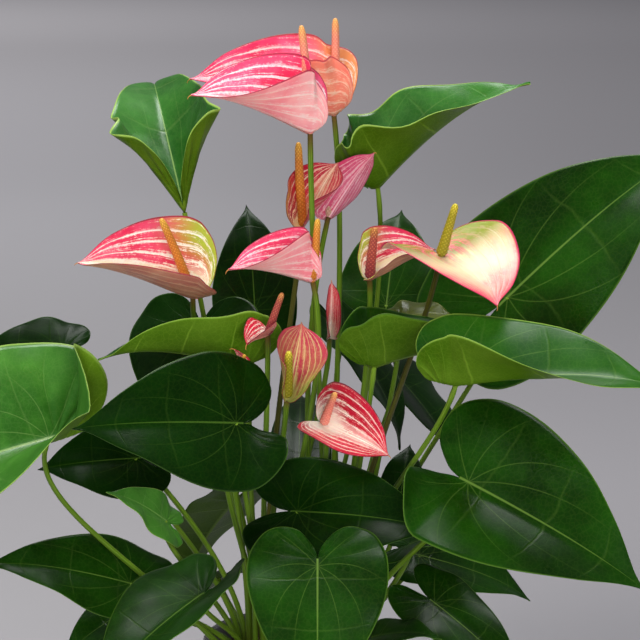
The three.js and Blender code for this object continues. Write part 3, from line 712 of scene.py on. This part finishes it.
def marginFinish(name, colour):
    finish = Finish(name, tuple(marginLook["dim"] * c for c in linear(colour)[:3]) + (1.0,))
    finish.coat(colour, finish.grain(finish.place(), marginLook["grain"]).between(0.3, 0.7))
    return finish.done(marginLook["roughness"])


# Stems are brown at the foot and take on another colour towards their upper end
stemLooks = {
    "petiole": {"green": "#4a6a10", "pale": "#6f8c28", "foot": "#5d4e24", "end": "#6f8c28", "endFrom": 0.9},
    "flower_stalk": {"green": "#4a6a10", "pale": "#6f8c28", "foot": "#5d4e24", "end": "#5c2a1e",
                     "endFrom": 0.93},
    "flower_stalk_dark": {"green": "#3c3a12", "pale": "#5a5a20", "foot": "#4a4020", "end": "#4a2418",
                          "endFrom": 0.93},
}
stemStreaks = {"around": 40, "along": 6}


def stemFinish(name, look):
    finish = Finish(name, look["green"])
    around, along = finish.uv("fine")
    streaks = finish.grain(finish.joined(around * stemStreaks["around"], along * stemStreaks["along"]), 1.0)
    finish.coat(look["pale"], streaks.between(0.35, 0.7))
    finish.coat(look["foot"], along.between(0.0, 0.12, 0.7, 0.0))
    finish.coat(look["end"], along.between(look["endFrom"], 1.0, 0.0, 0.75))
    finish.bump(streaks, depth=0.0002, strength=0.4)
    return finish.done(0.42, 0.3)


# Spathe finishes: the ground runs from one colour to a deeper one at the margin and the tip, under white
# veins with feathered edges. Cream spreads from the joint, and older spathes turn green at their back lobes.
plainSpathe = {"creamReach": 0.3, "lobeShare": 1.0, "lines": 0.85, "middle": 0.3, "lobeRow": 0.36,
               "lobeStart": 0.5, "flame": 0.0, "tipShare": 0.3}
spatheLooks = {
    "pink": {"ground": "#f27096", "deep": "#de3460", "vein": "#fff8f5", "cream": "#fdf1e4", "lobe": "#b5b64a",
             "under": "#ffb6b4", "underDeep": "#f6838e", "underVein": "#fff0e4", "margin": "#9c2440",
             "creamReach": 0.35, "lobeShare": 0.0, "lines": 0.9, "streaks": 0.95, "tipShare": 0.25},
    "ageing": {"ground": "#ec5a7a", "deep": "#d42a50", "vein": "#fff5e6", "cream": "#fbf1cc",
               "lobe": "#aab83a", "under": "#d09a7c", "underDeep": "#b86c60", "underVein": "#e6c49c",
               "margin": "#962a3a", "creamReach": 0.36, "lines": 0.9, "streaks": 0.9, "middle": 1.8,
               "lobeStart": 0.15},
    "crimson": {"ground": "#cf2f48", "deep": "#a81432", "vein": "#f8e6c4", "cream": "#f6e2b0",
                "lobe": "#b8b048", "under": "#d8566a", "underDeep": "#b8304c", "underVein": "#fbe6d6",
                "margin": "#7c1a2c", "lobeShare": 0.7, "streaks": 0.6},
    "salmon": {"ground": "#f27096", "deep": "#de3460", "vein": "#ffeee6", "cream": "#fbe9c4",
               "lobe": "#e0905a", "under": "#f8a080", "underDeep": "#e87866", "underVein": "#fde2c4",
               "margin": "#a03a42", "streaks": 0.8, "middle": 0.2, "lobeRow": 0.4, "lobeStart": 0.1},
    "magenta": {"ground": "#e04a74", "deep": "#bc2450", "vein": "#fdeaea", "cream": "#f8e4dc",
                "lobe": "#b5a04a", "under": "#ea7c98", "underDeep": "#cc3f68", "underVein": "#fde4e2",
                "margin": "#8a1c46", "creamReach": 0.4, "lobeShare": 0.2, "streaks": 0.85, "middle": 0.2,
                "tipShare": 0.4},
    "paleSpathe": {"ground": "#ecc8a0", "deep": "#e0305c", "vein": "#f4c4b4", "cream": "#ead6ac",
                   "lobe": "#808c12", "under": "#e6ca9e", "underDeep": "#d88a90", "underVein": "#f9ecc8",
                   "margin": "#c8285c", "creamReach": 0.9, "lines": 0.2, "streaks": 0.3, "middle": 0.0,
                   "lobeRow": 0.38, "lobeStart": -0.35, "flame": 1.0, "tipShare": 1.0},
    "oliveSpathe": {"ground": "#b4584e", "deep": "#b02a4c", "vein": "#cfc684", "cream": "#c2c46a",
                    "lobe": "#8f9a38", "under": "#aea052", "underDeep": "#a8504c", "underVein": "#ded696",
                    "margin": "#8a1f38", "streaks": 0.55, "middle": 0.0, "lobeStart": 0.0, "tipShare": 0.6},
    "redSpathe": {"ground": "#dc2c48", "deep": "#b40c2c", "vein": "#fff0dc", "cream": "#fbeedd",
                  "lobe": "#b0303a", "under": "#dc7a6e", "underDeep": "#b43c48", "underVein": "#f6d6be",
                  "margin": "#70122a", "creamReach": 0.4, "lobeShare": 0.4, "streaks": 0.5, "middle": 0.35,
                  "tipShare": 0.4},
}
# Main veins by their number across half a spathe and the widths of their core and halo, and the finer streaks
spatheVeins = {"across": 5.5, "core": 0.1, "halo": 0.5, "streaks": 44, "pace": 7, "sway": 0.9,
               "streakSway": 5, "feathers": (0.76, 0.9), "ripples": 5}
spatheGrain = {"wander": 18, "underCloud": 26, "cloud": 30, "speckle": 380}
# The share of the light that scatters through a thin spathe, and how far its red, green and blue reach
spatheGlow = {"Subsurface Weight": 0.3, "Subsurface Radius": (1.0, 0.45, 0.35), "Subsurface Scale": 0.0025}


# Main veins and feathered streaks beside them, both running parallel to the margin
def spatheVeinMasks(finish, share, row):
    wander = finish.grain(finish.place(), spatheGrain["wander"], 2) - 0.5
    lanes = share * spatheVeins["across"] + wander * spatheVeins["sway"]
    core, halo = lanes.lines(spatheVeins["core"]), lanes.lines(spatheVeins["halo"])
    course = share * spatheVeins["streaks"] + wander * spatheVeins["streakSway"]
    streaks = finish.grain(finish.joined(course, row * spatheVeins["pace"]), 1.0, 4, 0.7)
    speckle = finish.grain(finish.place(), spatheGrain["speckle"], 3, 0.7)
    grain = streaks + speckle * 0.4 + halo * 0.14 - share.between(0.7, 1.0) * 0.07
    veins = larger(core * share.fading(0.7, 1.0, 0.35), share.fading(0.01, 0.04))
    return veins, grain.between(*spatheVeins["feathers"]), grain


def spatheUpperFinish(name, look):
    finish = Finish(name, look["ground"])
    share, row = finish.halfBlade()
    distance = distanceOf(*finish.uv("flat"))
    veins, feathers, grain = spatheVeinMasks(finish, share, row)
    finish.coat(look["deep"], finish.grain(finish.place(), spatheGrain["cloud"]).between(0.35, 0.65))
    finish.coat(look["deep"], share.between(0.8, 1.0) * 0.6)
    middle = (share - grain * 0.2).fading(0.0, 0.18) * row.between(0.55, 0.75, look["middle"], 0.0)
    finish.coat(look["cream"], middle)
    ragged = distance + feathers * -0.25
    finish.coat(look["cream"], ragged.between(0.3 * look["creamReach"], look["creamReach"], 0.95, 0.0))
    behind = (row + grain * 0.12).between(look["lobeRow"], look["lobeRow"] + 0.2)
    outer = (share + grain * -0.3).between(look["lobeStart"], look["lobeStart"] + 0.4)
    finish.coat(look["lobe"], behind * outer * look["lobeShare"])
    flames = grain.between(0.72, 0.82) * distance.between(0.15, 0.5, look["flame"], 0.0)
    finish.coat(look["deep"], flames * behind)
    pointed = row + (share + grain) * -0.12
    finish.coat(look["deep"], pointed.fading(-0.06, 0.2) * look["tipShare"] * 0.8)
    finish.coat(look["vein"], larger(veins * look["lines"], feathers * look["streaks"]))
    finish.coat(look["margin"], share.between(0.965, 0.99))
    finish.bump(feathers * 0.2 - veins, depth=0.0003, strength=0.5)
    finish.set(spatheGlow)
    return finish.done(0.36, 0.4)


def spatheUnderFinish(name, look):
    finish = Finish(name, look["under"])
    share, row = finish.halfBlade()
    veins, feathers, _ = spatheVeinMasks(finish, share, row)
    finish.coat(look["underDeep"], finish.grain(finish.place(), spatheGrain["underCloud"]).between(0.3, 0.7))
    finish.coat(look["underVein"], larger(veins * 0.6, feathers * 0.55))
    finish.coat(look["margin"], share.between(0.965, 0.99))
    finish.bump(feathers * 0.2 + veins, depth=0.0003, strength=0.5)
    finish.set(spatheGlow)
    return finish.done(0.45, 0.3)


# Spadix finishes, from the base to the tip, with grooves and light specks between and on the florets
spadixLooks = {
    "orange": {"base": "#c9791f", "middle": "#e09238", "tip": "#f0c04c", "groove": "#a85a1c"},
    "pinkSpadix": {"base": "#e8a090", "middle": "#ee9a80", "tip": "#f5bd5c", "groove": "#cf6a5a"},
    "greenSpadix": {"base": "#8f8a1a", "middle": "#a79c20", "tip": "#e4d23c", "groove": "#6f6614"},
    "maroon": {"base": "#8e2c3c", "middle": "#c0604a", "tip": "#dd9a4c", "groove": "#6c1c2c"},
    "cream": {"base": "#c9a08c", "middle": "#d8c4a0", "tip": "#7c2c3c", "groove": "#a8745c"},
}
florets = {"columns": 7, "pitch": 1.75, "height": 0.09, "speck": "#f8e0b0", "grain": 900}
spikeForm = {"sides": 56, "steps": 150, "bow": 0.04, "overrun": 0.45, "neck": 0.42, "neckReach": 0.1,
             "base": 1.02, "taper": 0.42, "roundFrom": 0.9, "blunt": 0.25}


def spadixFinish(name, look):
    finish = Finish(name, look["base"])
    around, along = finish.uv("fine")
    _, lengthwise = finish.uv("flat")
    turns = (around * (2 * math.pi * florets["columns"])).calc("COSINE")
    lattice = turns * (lengthwise * (math.pi / florets["pitch"])).calc("COSINE")
    finish.coat(look["middle"], along.between(0.0, 0.6))
    finish.coat(look["tip"], along.between(0.75, 1.0))
    finish.coat(look["groove"], (1.0 - lattice.between(-0.1, 0.6)) * 0.6)
    finish.coat(florets["speck"], lattice.between(0.85, 0.97) * 0.35)
    finish.bump(finish.grain(finish.place(), florets["grain"], 2), depth=0.0002, strength=0.4)
    return finish.done(0.55)


# The fine spike: a taper on a narrow neck, closed by a rounded tip, with its florets in a lattice
def addSpadix(body, shape):
    form = spikeForm
    start, tip = shape["at"], np.array(shape["spadix"], float)
    span = np.linalg.norm(tip - start)
    middle = (start + tip) / 2 + form["bow"] * span * shape["up"]
    s = np.linspace(0, 1, form["steps"])
    reach = 1 + form["overrun"] * shape["girth"] / span
    t = (s * reach)[:, None]
    course = (1 - t) ** 2 * start + 2 * (1 - t) * t * middle + t ** 2 * tip
    neck = form["neck"] + (1 - form["neck"]) * smooth(np.clip(s / form["neckReach"], 0, 1))
    dome = np.sqrt(1 - np.clip((s - form["roundFrom"]) / (1 - form["roundFrom"]), 0, 1) ** 2)
    ending = np.where(s > form["roundFrom"], form["blunt"] + (1 - form["blunt"]) * dome, 1)
    radii = shape["girth"] * (form["base"] - form["taper"] * s) * neck * ending * np.where(s > 0.999, 0.1, 1)
    along = s * span * reach

    def relief(shares, angle):
        lattice = np.cos(florets["columns"] * angle) * np.cos(math.pi * along[:, None] / florets["pitch"])
        return 1 + florets["height"] * np.clip(lattice, -0.4, 1) * np.clip((1.0 - shares) * 12, 0, 1)

    addTube(body, course, radii, form["sides"], 0, relief)


# Leaves, named by where they show from the front, each with its stem joint and its tip. Young ones stand out
# in blisters between their veins. Older ones lie in the shade of the clump, and their darker look is painted
# shade.
# A few that stand in the light have lighter looks of painted light.
leaves = [
    {"name": "upper_left", "look": "freshLeaf", "crown": "left", "at": (-97, 0, 524),
     "tip": (-130, 145, 612), "width": 190, "roll": -14, "funnel": 56, "lift": 0, "lobes": 1.2,
     "droop": 0, "tipDroop": 90, "fold": (0, 10, 15), "curl": (0, 0, -20), "wave": 4, "quilt": 2.4},
    {"name": "upper_right", "look": "freshLeaf", "crown": "right", "at": (67, 60, 537),
     "tip": (197, 50, 628), "width": 128, "roll": 5, "funnel": 25, "lift": 60,
     "right": {"fold": (30, 36, 0), "curl": (5, 0, 0)}, "left": {"fold": (55, 62, 40)}, "wave": 6,
     "waves": 2.2, "quilt": 1.6},
    {"name": "right_high", "crown": "right", "at": (183, 80, 437), "tip": (345, 110, 564), "width": 150,
     "roll": 50},
    {"name": "right_middle", "look": "halfLit", "crown": "right", "at": (126, -118, 402),
     "tip": (290, -160, 407), "width": 125, "roll": 32, "funnel": 15, "lobes": 0.6,
     "right": {"fold": (90, 72, 20), "curl": (0, 0, 0)}, "left": {"fold": (20, 15, 15)},
     "bend": (-24, 34), "quilt": 1.0},
    {"name": "middle_right_low", "crown": "right", "at": (62, -54, 403), "tip": (166, -55, 415),
     "width": 106, "roll": 0, "funnel": 15, "right": {"fold": (45, 45, 55), "curl": (0, 0, 0)},
     "left": {"fold": (80, 48, 25)}},
    {"name": "heart_behind", "look": "shaded", "crown": "right", "at": (39, 95, 400), "tip": (88, 75, 299),
     "width": 90, "roll": 0, "bend": (14, 0)},
    {"name": "right_low", "crown": "right", "at": (138, -107, 318), "tip": (276, -167, 245),
     "width": 146, "roll": 52, "lift": 24, "lobes": 0.75,
     "right": {"fold": (62, 32, 28), "curl": (0, -20, 0)}, "left": {"fold": (24, 18, 22)}},
    {"name": "centre", "look": "shaded", "crown": "right", "at": (-1, -95, 290), "tip": (119, -122, 280),
     "width": 95, "roll": 50},
    {"name": "front", "crown": "left", "at": (15, -150, 260), "tip": (15, -215, 153), "width": 112,
     "lobes": 0.75},
    {"name": "left_middle_low", "look": "halfLit", "crown": "left", "at": (-49, -45, 402),
     "tip": (-165, -75, 413), "width": 102, "roll": 0, "funnel": 15, "right": {"fold": (62, 16, 20)},
     "left": {"fold": (66, 54, 62), "curl": (0, 0, 0)}},
    {"name": "left_middle_high", "look": "shaded", "crown": "left", "at": (-90, 65, 407),
     "tip": (-101, 30, 311), "width": 120},
    {"name": "left_dark", "look": "shaded", "crown": "left", "at": (-51, -121, 371),
     "tip": (-178, -166, 377), "width": 115, "roll": -62, "lobes": 0.7, "left": {"fold": (70, 14, 22)}},
    {"name": "far_left", "look": "sunlit", "crown": "left", "at": (-211, -40, 338),
     "tip": (-340, -90, 303), "width": 175, "roll": -55, "lobes": 1.3, "right": {"fold": (20, 15, 15)},
     "left": {"fold": (150, 78, 5), "curl": (0, 0, 0)}, "bend": (-70, -20), "quilt": 1.2},
    {"name": "left_behind", "look": "shaded", "crown": "left", "at": (-146, 50, 298),
     "tip": (-231, 40, 290), "width": 75, "roll": -60},
    {"name": "far_left_behind", "look": "shaded", "crown": "left", "at": (-214, 80, 388),
     "tip": (-294, 80, 378), "width": 70, "roll": -40},
    {"name": "left_small", "look": "sunlit", "crown": "left", "at": (-115, -30, 264),
     "tip": (-162, -60, 297), "width": 45, "roll": -50},
    {"name": "left_low", "crown": "left", "at": (-147, -20, 205), "tip": (-268, -60, 234), "width": 80,
     "roll": -45, "bend": (4, -10)},
    {"name": "front_left", "crown": "left", "at": (-84, -90, 215), "tip": (-162, -160, 151),
     "width": 110, "roll": -10, "left": {"fold": (60, 45, 22)}},
    {"name": "left_low_behind", "crown": "left", "at": (-136, 12, 180), "tip": (-208, -20, 134),
     "width": 62, "roll": -30, "bend": (14, 0)},
    {"name": "inner_left", "look": "shaded", "crown": "left", "at": (-62, 95, 245), "tip": (-105, 150, 150),
     "width": 92, "bend": (16, 8)},
    {"name": "inner_low", "look": "shaded", "crown": "left", "at": (-74, 60, 185), "tip": (-104, 111, 135),
     "width": 52},
    {"name": "back_upper", "look": "shaded", "crown": "left", "at": (-41, 90, 424), "tip": (-50, 150, 509),
     "width": 75, "bend": (-15, 0)},
    {"name": "back_right_upper", "crown": "right", "at": (78, 155, 416), "tip": (94, 225, 493),
     "width": 95, "bend": (-22, 0)},
    {"name": "right_yellow", "look": "yellowLeaf", "crown": "right", "at": (88, 15, 432),
     "tip": (134, 10, 431), "width": 42, "roll": 20},
    {"name": "right_behind", "look": "shaded", "crown": "right", "at": (92, 167, 342),
     "tip": (140, 147, 263), "width": 92, "lobes": 0.6},
    {"name": "centre_behind", "look": "shaded", "crown": "left", "at": (-2, 95, 284),
     "tip": (-1, 205, 320), "width": 58},
    {"name": "right_under", "crown": "right", "at": (96, -15, 239), "tip": (166, -35, 252), "width": 60,
     "roll": 10},
    {"name": "right_low_behind", "crown": "right", "at": (106, 60, 206), "tip": (207, 80, 157),
     "width": 65, "roll": 40},
    {"name": "front_right", "crown": "right", "at": (114, -60, 200), "tip": (188, -108, 138),
     "width": 64, "roll": 30},
    {"name": "front_right_low", "crown": "right", "at": (62, -80, 177), "tip": (117, -122, 189),
     "width": 45, "roll": 20},
    {"name": "behind_right", "look": "shaded", "crown": "right", "at": (87, 20, 268), "tip": (97, 60, 308),
     "width": 45},
]

# Blooms, from the top down, each with its spathe's joint and tip and its spadix's tip
blooms = [
    {"name": "top_front", "spike": "pinkSpadix", "crown": "right", "at": (9, -45, 596),
     "tip": (-87, -70, 630), "width": 122, "roll": -15, "spadix": (2, -55, 683), "funnel": 30,
     "lobes": 1.25, "right": {"fold": (35, 55, 48)}, "left": {"fold": (60, 42, 12)}},
    {"name": "top_back", "look": "salmon", "spike": "pinkSpadix", "crown": "right", "at": (29, 55, 600),
     "tip": (-95, 60, 631), "width": 132, "roll": -15, "spadix": (30, 50, 682), "funnel": 30,
     "lobes": 1.5, "right": {"fold": (30, 48, 45)}, "left": {"fold": (50, 32, 5)}, "bend": (0, -15)},
    {"name": "upper_middle", "look": "crimson", "crown": "left", "at": (2, 5, 511), "tip": (32, 25, 563),
     "width": 92, "roll": 38, "spadix": (-1, -10, 583), "funnel": 25, "right": {"fold": (45, 45, 30)},
     "left": {"fold": (40, 45, 30)}},
    {"name": "upper_right", "look": "magenta", "spike": "cream", "crown": "right", "at": (24, 25, 516),
     "tip": (63, 15, 573), "width": 60, "roll": -60, "spadix": (34, 38, 558), "girth": 3.6},
    {"name": "left", "look": "ageing", "crown": "left", "at": (-90, -15, 454), "tip": (-184, -40, 488),
     "width": 136, "roll": -40, "spadix": (-113, -50, 525), "funnel": 25, "lobes": 1.15,
     "right": {"fold": (30, 30, 30)}, "left": {"fold": (25, 32, 55)}, "bend": (0, 20)},
    {"name": "middle_left", "crown": "left", "at": (11, -52, 474), "tip": (-58, -67, 487), "width": 88,
     "roll": -10, "spadix": (15, -57, 526), "girth": 4, "funnel": 25, "right": {"fold": (30, 55, 75)},
     "left": {"fold": (70, 60, 15)}},
    {"name": "middle_right", "look": "ageing", "spike": "maroon", "crown": "right", "at": (59, 0, 467),
     "tip": (114, 5, 492), "width": 92, "roll": 42, "spadix": (63, -10, 511),
     "right": {"fold": (20, 30, 60)}, "left": {"fold": (35, 35, 30)}},
    {"name": "right", "look": "paleSpathe", "spike": "greenSpadix", "crown": "right",
     "at": (117, -35, 492), "tip": (160, -100, 463), "width": 124, "roll": -5,
     "spadix": (128, -50, 537), "funnel": 5, "lobes": 1.2, "right": {"fold": (-20, 4, 12)},
     "left": {"fold": (20, 22, 12)}, "bend": (8, 18)},
    {"name": "inner_high", "look": "redSpathe", "spike": "maroon", "crown": "left", "at": (-26, -70, 433),
     "tip": (-43, -85, 428), "width": 40, "roll": 0, "spadix": (-14, -82, 469), "girth": 3.5,
     "funnel": 10, "fold": (25, 28, 30)},
    {"name": "inner_low", "look": "redSpathe", "crown": "left", "at": (-48, -70, 404),
     "tip": (-53, -70, 421), "width": 22, "roll": 0, "spadix": (-45, -76, 417), "girth": 2.4},
    {"name": "centre", "look": "oliveSpathe", "spike": "greenSpadix", "crown": "left",
     "at": (-10, -90, 385), "tip": (2, -65, 442), "width": 98, "roll": 35, "spadix": (-8, -110, 426),
     "fold": (45, 45, 30), "bend": (0, 15)},
    {"name": "low_red", "look": "redSpathe", "spike": "pinkSpadix", "crown": "left",
     "at": (20, -75, 359), "tip": (73, -105, 340), "width": 82, "roll": 45, "spadix": (29, -100, 390),
     "girth": 4, "funnel": 10, "fold": (30, 35, 30), "bend": (0, 15)},
    {"name": "rolled", "look": "redSpathe", "crown": "left", "at": (25, 5, 418), "tip": (27, 10, 463),
     "width": 45, "roll": 30, "funnel": 10, "lobes": 0.3, "fold": (50, 70, 60), "curl": (0, 10, 15)},
]
leafSlots = {"freshLeaf": "fresh_leaf", "yellowLeaf": "yellow_leaf"}
spatheSlots = {"paleSpathe": "pale_spathe", "oliveSpathe": "olive_spathe", "redSpathe": "red_spathe"}
spikeSlots = {"pinkSpadix": "pink_spadix", "greenSpadix": "green_spadix"}
darkStalks = ("right", "upper_middle")


# Quilting between the veins, and a ripple that grows towards the margin
def reliefOver(shape, grid, lane, ripples, phase):
    share = grid["share"]
    bulge = np.abs(np.sin(math.pi * (lane - 0.5))) * 4 * share * (1 - share)
    ripple = share ** 3 * np.sin(2 * math.pi * (grid["row"] * ripples + 0.3 * grid["signed"]) + phase)
    return shape["quilt"] * bulge + shape["ripple"] * ripple


def leafRelief(shape, grid):
    lane = grid["row"] * leafVeins["count"] - leafVeins["bend"] * grid["share"] ** leafVeins["sweep"]
    return reliefOver(shape, grid, lane, leafVeins["ripples"], shape["at"][0])


def spatheRelief(shape, grid):
    lane = grid["share"] * spatheVeins["across"]
    return reliefOver(shape, grid, lane, spatheVeins["ripples"], shape["at"][2])


bladeFinishes = {}
families = ((leafLooks, {}, leafUpperFinish, leafUnderFinish),
            (spatheLooks, plainSpathe, spatheUpperFinish, spatheUnderFinish))
for looks, plain, upperFinish, underFinish in families:
    for key, own in looks.items():
        look = {**plain, **own}
        bladeFinishes[key] = [upperFinish(f"{key}_upper", look), underFinish(f"{key}_under", look),
                              marginFinish(f"{key}_margin", look["margin"])]
stemFinishes = {key: stemFinish(key, look) for key, look in stemLooks.items()}
spadixFinishes = {key: spadixFinish(f"spadix_{key}", look) for key, look in spadixLooks.items()}
print("finishes made")

for pieces, defaults, isStalk in ((leaves, leafShape, False), (blooms, spatheShape, True)):
    for piece in pieces:
        piece.update(placeBlade(piece, defaults))
        piece["stem"] = stemFrom(piece, isStalk)
spreadStems([piece["stem"] for piece in leaves + blooms])
print("stems settled")

for leaf in leaves:
    body = Body()
    addBlade(body, leaf, leafOutline, leafRelief)
    addStem(body, leaf["stem"], 3)
    body.build(f"fine_leaf_{leaf['name']}", bladeFinishes[leaf["look"]] + [stemFinishes["petiole"]],
               leafSlots.get(leaf["look"], "leaf"), f"leaf_{leaf['name']}")
print("leaves grown:", len(leaves))

# The thin curled thread that a spathe's tip runs out to
tail = {"length": 6, "radius": 0.55, "taper": 0.7, "curl": 80, "sunk": 1.5, "steps": 12, "sides": 8,
        "colour": "#d08a4a"}


def addTail(body, shape):
    t = np.linspace(0, 1, tail["steps"])
    _, _, slope = spineAt(shape, np.array(1.0))
    forward = shape["forward"] * math.cos(slope) + shape["up"] * math.sin(slope)
    above = shape["up"] * math.cos(slope) - shape["forward"] * math.sin(slope)
    turn = math.radians(tail["curl"])
    ahead, down = np.sin(turn * t) / turn, (1 - np.cos(turn * t)) / turn
    start = np.array(shape["tip"], float) - tail["sunk"] * forward
    course = start + tail["length"] * (ahead[:, None] * forward - down[:, None] * above)
    addTube(body, course, tail["radius"] * (1 - tail["taper"] * t), tail["sides"], 3)


tailFinish = marginFinish("spathe_tail", tail["colour"])
for bloom in blooms:
    name, look, spike = bloom["name"], bloom["look"], bloom["spike"]
    body = Body()
    addBlade(body, bloom, spatheOutline, spatheRelief)
    addTail(body, bloom)
    body.build(f"fine_spathe_{name}", bladeFinishes[look] + [tailFinish], spatheSlots.get(look, "spathe"),
               f"spathe_{name}")
    if "spadix" in bloom:
        body = Body()
        addSpadix(body, bloom)
        body.build(f"fine_spadix_{name}", [spadixFinishes[spike]], spikeSlots.get(spike, "spadix"),
                   f"spadix_{name}")
print("blooms opened:", len(blooms))

# A crown is a short rootstock with scars round it, and its flower stalks grow from it
rootstock = {"rings": 24, "sides": 28, "sunk": 4, "base": 1.02, "taper": 0.35, "scars": 28, "scarDepth": 0.05}
for crown, foot in stems["crowns"].items():
    body = Body()
    for bloom in blooms:
        if bloom["crown"] == crown:
            addStem(body, bloom["stem"], 1 if bloom["name"] in darkStalks else 0)
    t = np.linspace(0, 1, rootstock["rings"])
    low, top = soil["level"] - rootstock["sunk"], soil["level"] + stems["crownHeight"]
    course = np.stack([foot[0] + 0 * t, foot[1] + 0 * t, low + (top - low) * t], axis=1)
    radii = stems["crownRadius"] * (rootstock["base"] - rootstock["taper"] * t ** 3)
    radii = radii * (1 + rootstock["scarDepth"] * np.sin(t * rootstock["scars"]))
    addTube(body, course, radii, rootstock["sides"], 0)
    finishes = [stemFinishes["flower_stalk"], stemFinishes["flower_stalk_dark"]]
    body.build(f"fine_flower_stalks_{crown}", finishes, "stalk", f"flower_stalks_{crown}")
print("stalks raised")


# The pot, turned from its outline: a plain tapered pot with a rolled rim, filled to just under it
def turnedBody(profile, sides):
    body = Body()
    profile = np.array(profile, float)
    angle = np.linspace(0, 2 * math.pi, sides + 1)
    ring = np.stack([profile[:, :1] * np.cos(angle), profile[:, :1] * np.sin(angle),
                     np.broadcast_to(profile[:, 1:], (len(profile), sides + 1))], axis=-1)
    fine = np.stack(np.broadcast_arrays(angle[None] / (2 * math.pi), profile[:, 1:]), axis=-1)
    body.add(ring, quads(len(profile) - 1, sides, flip=True), fine, fine, 0)
    return body


def arc(centre, radius, start, end, count=7):
    angle = np.radians(np.linspace(start, end, count))
    return [(centre[0] + radius * math.cos(a), centre[1] + radius * math.sin(a)) for a in angle]


potLook = {"colour": "#77757a", "dark": "#626065", "wear": 30, "gloss": 90, "grain": 1400}
soilLook = {"dark": "#2b211a", "light": "#5a4636", "fleck": "#a08c72", "crumbs": 260, "flecks": 420}


def potFinish():
    finish = Finish("pot_plastic", potLook["colour"])
    spot = finish.place()
    finish.coat(potLook["dark"], finish.grain(spot, potLook["wear"], 4).between(0.4, 0.75))
    finish.bump(finish.grain(spot, potLook["grain"], 2), depth=0.0001, strength=0.35)
    return finish.done(finish.grain(spot, potLook["gloss"]).between(0.3, 0.7, 0.42, 0.56))


def soilFinish():
    finish = Finish("soil_peat", soilLook["dark"])
    spot = finish.place()
    crumbs = finish.grain(spot, soilLook["crumbs"], 5, 0.7).between(0.3, 0.75)
    finish.coat(soilLook["light"], crumbs)
    finish.coat(soilLook["fleck"], finish.grain(spot, soilLook["flecks"], 2).between(0.66, 0.74))
    finish.bump(crumbs, depth=0.0015, strength=0.8)
    return finish.done(0.95)


def addPot():
    foot, top, lip = pot["footRadius"], pot["topRadius"], pot["height"]
    bevel, roll, under = pot["bevel"], pot["roll"], lip - pot["rimHeight"]
    profile = [(0, 0), (foot - pot["inset"], 0)] + arc((foot - bevel, bevel), bevel, -90, -20)
    profile += [(potOuter(z), z) for z in (*pot["rings"], under - 2)]
    profile += arc((top - roll, under + 3), roll, -90, 0) + arc((top - bevel, lip - bevel), bevel, 0, 90)
    profile += arc((potInner(lip) + roll, lip - roll), roll, 90, 180)
    profile += [(potInner(z), z) for z in (*pot["innerRings"], pot["floor"] + 1)] + [(0, pot["floor"])]
    turnedBody(profile, pot["sides"]).build("fine_pot", [potFinish()], "pot", "pot")


# Peat soil, mounded towards the middle, with crumbs over its surface
def addSoil():
    level, dome, clearance = soil["level"], soil["dome"], soil["clearance"]
    edge, foot = potInner(level) - clearance, pot["floor"] + clearance
    shoulder, rise = soil["shoulder"]
    radii = np.linspace(edge, 0, soil["rings"])
    mound = np.interp(radii, [0, shoulder * edge, edge], [dome, rise * dome, 0])
    profile = [(0, foot), (potInner(pot["floor"]) - clearance, foot)]
    profile += [(radius, level + height) for radius, height in zip(radii, mound)]
    body = turnedBody(profile, soil["sides"])
    for point in body.points[0]:
        reach = math.hypot(point[0], point[1])
        if point[2] >= level - 0.1 and reach < edge - 0.5:
            spot = Vector(point)
            crumb = sum(noise.noise(spot / size) * height for size, height in soil["crumbs"])
            point[2] += (crumb - soil["sink"]) * min(1, (edge - reach) / soil["calm"])
    body.build("fine_soil", [soilFinish()], "soil", "soil")


addPot()
addSoil()
print("pot filled")
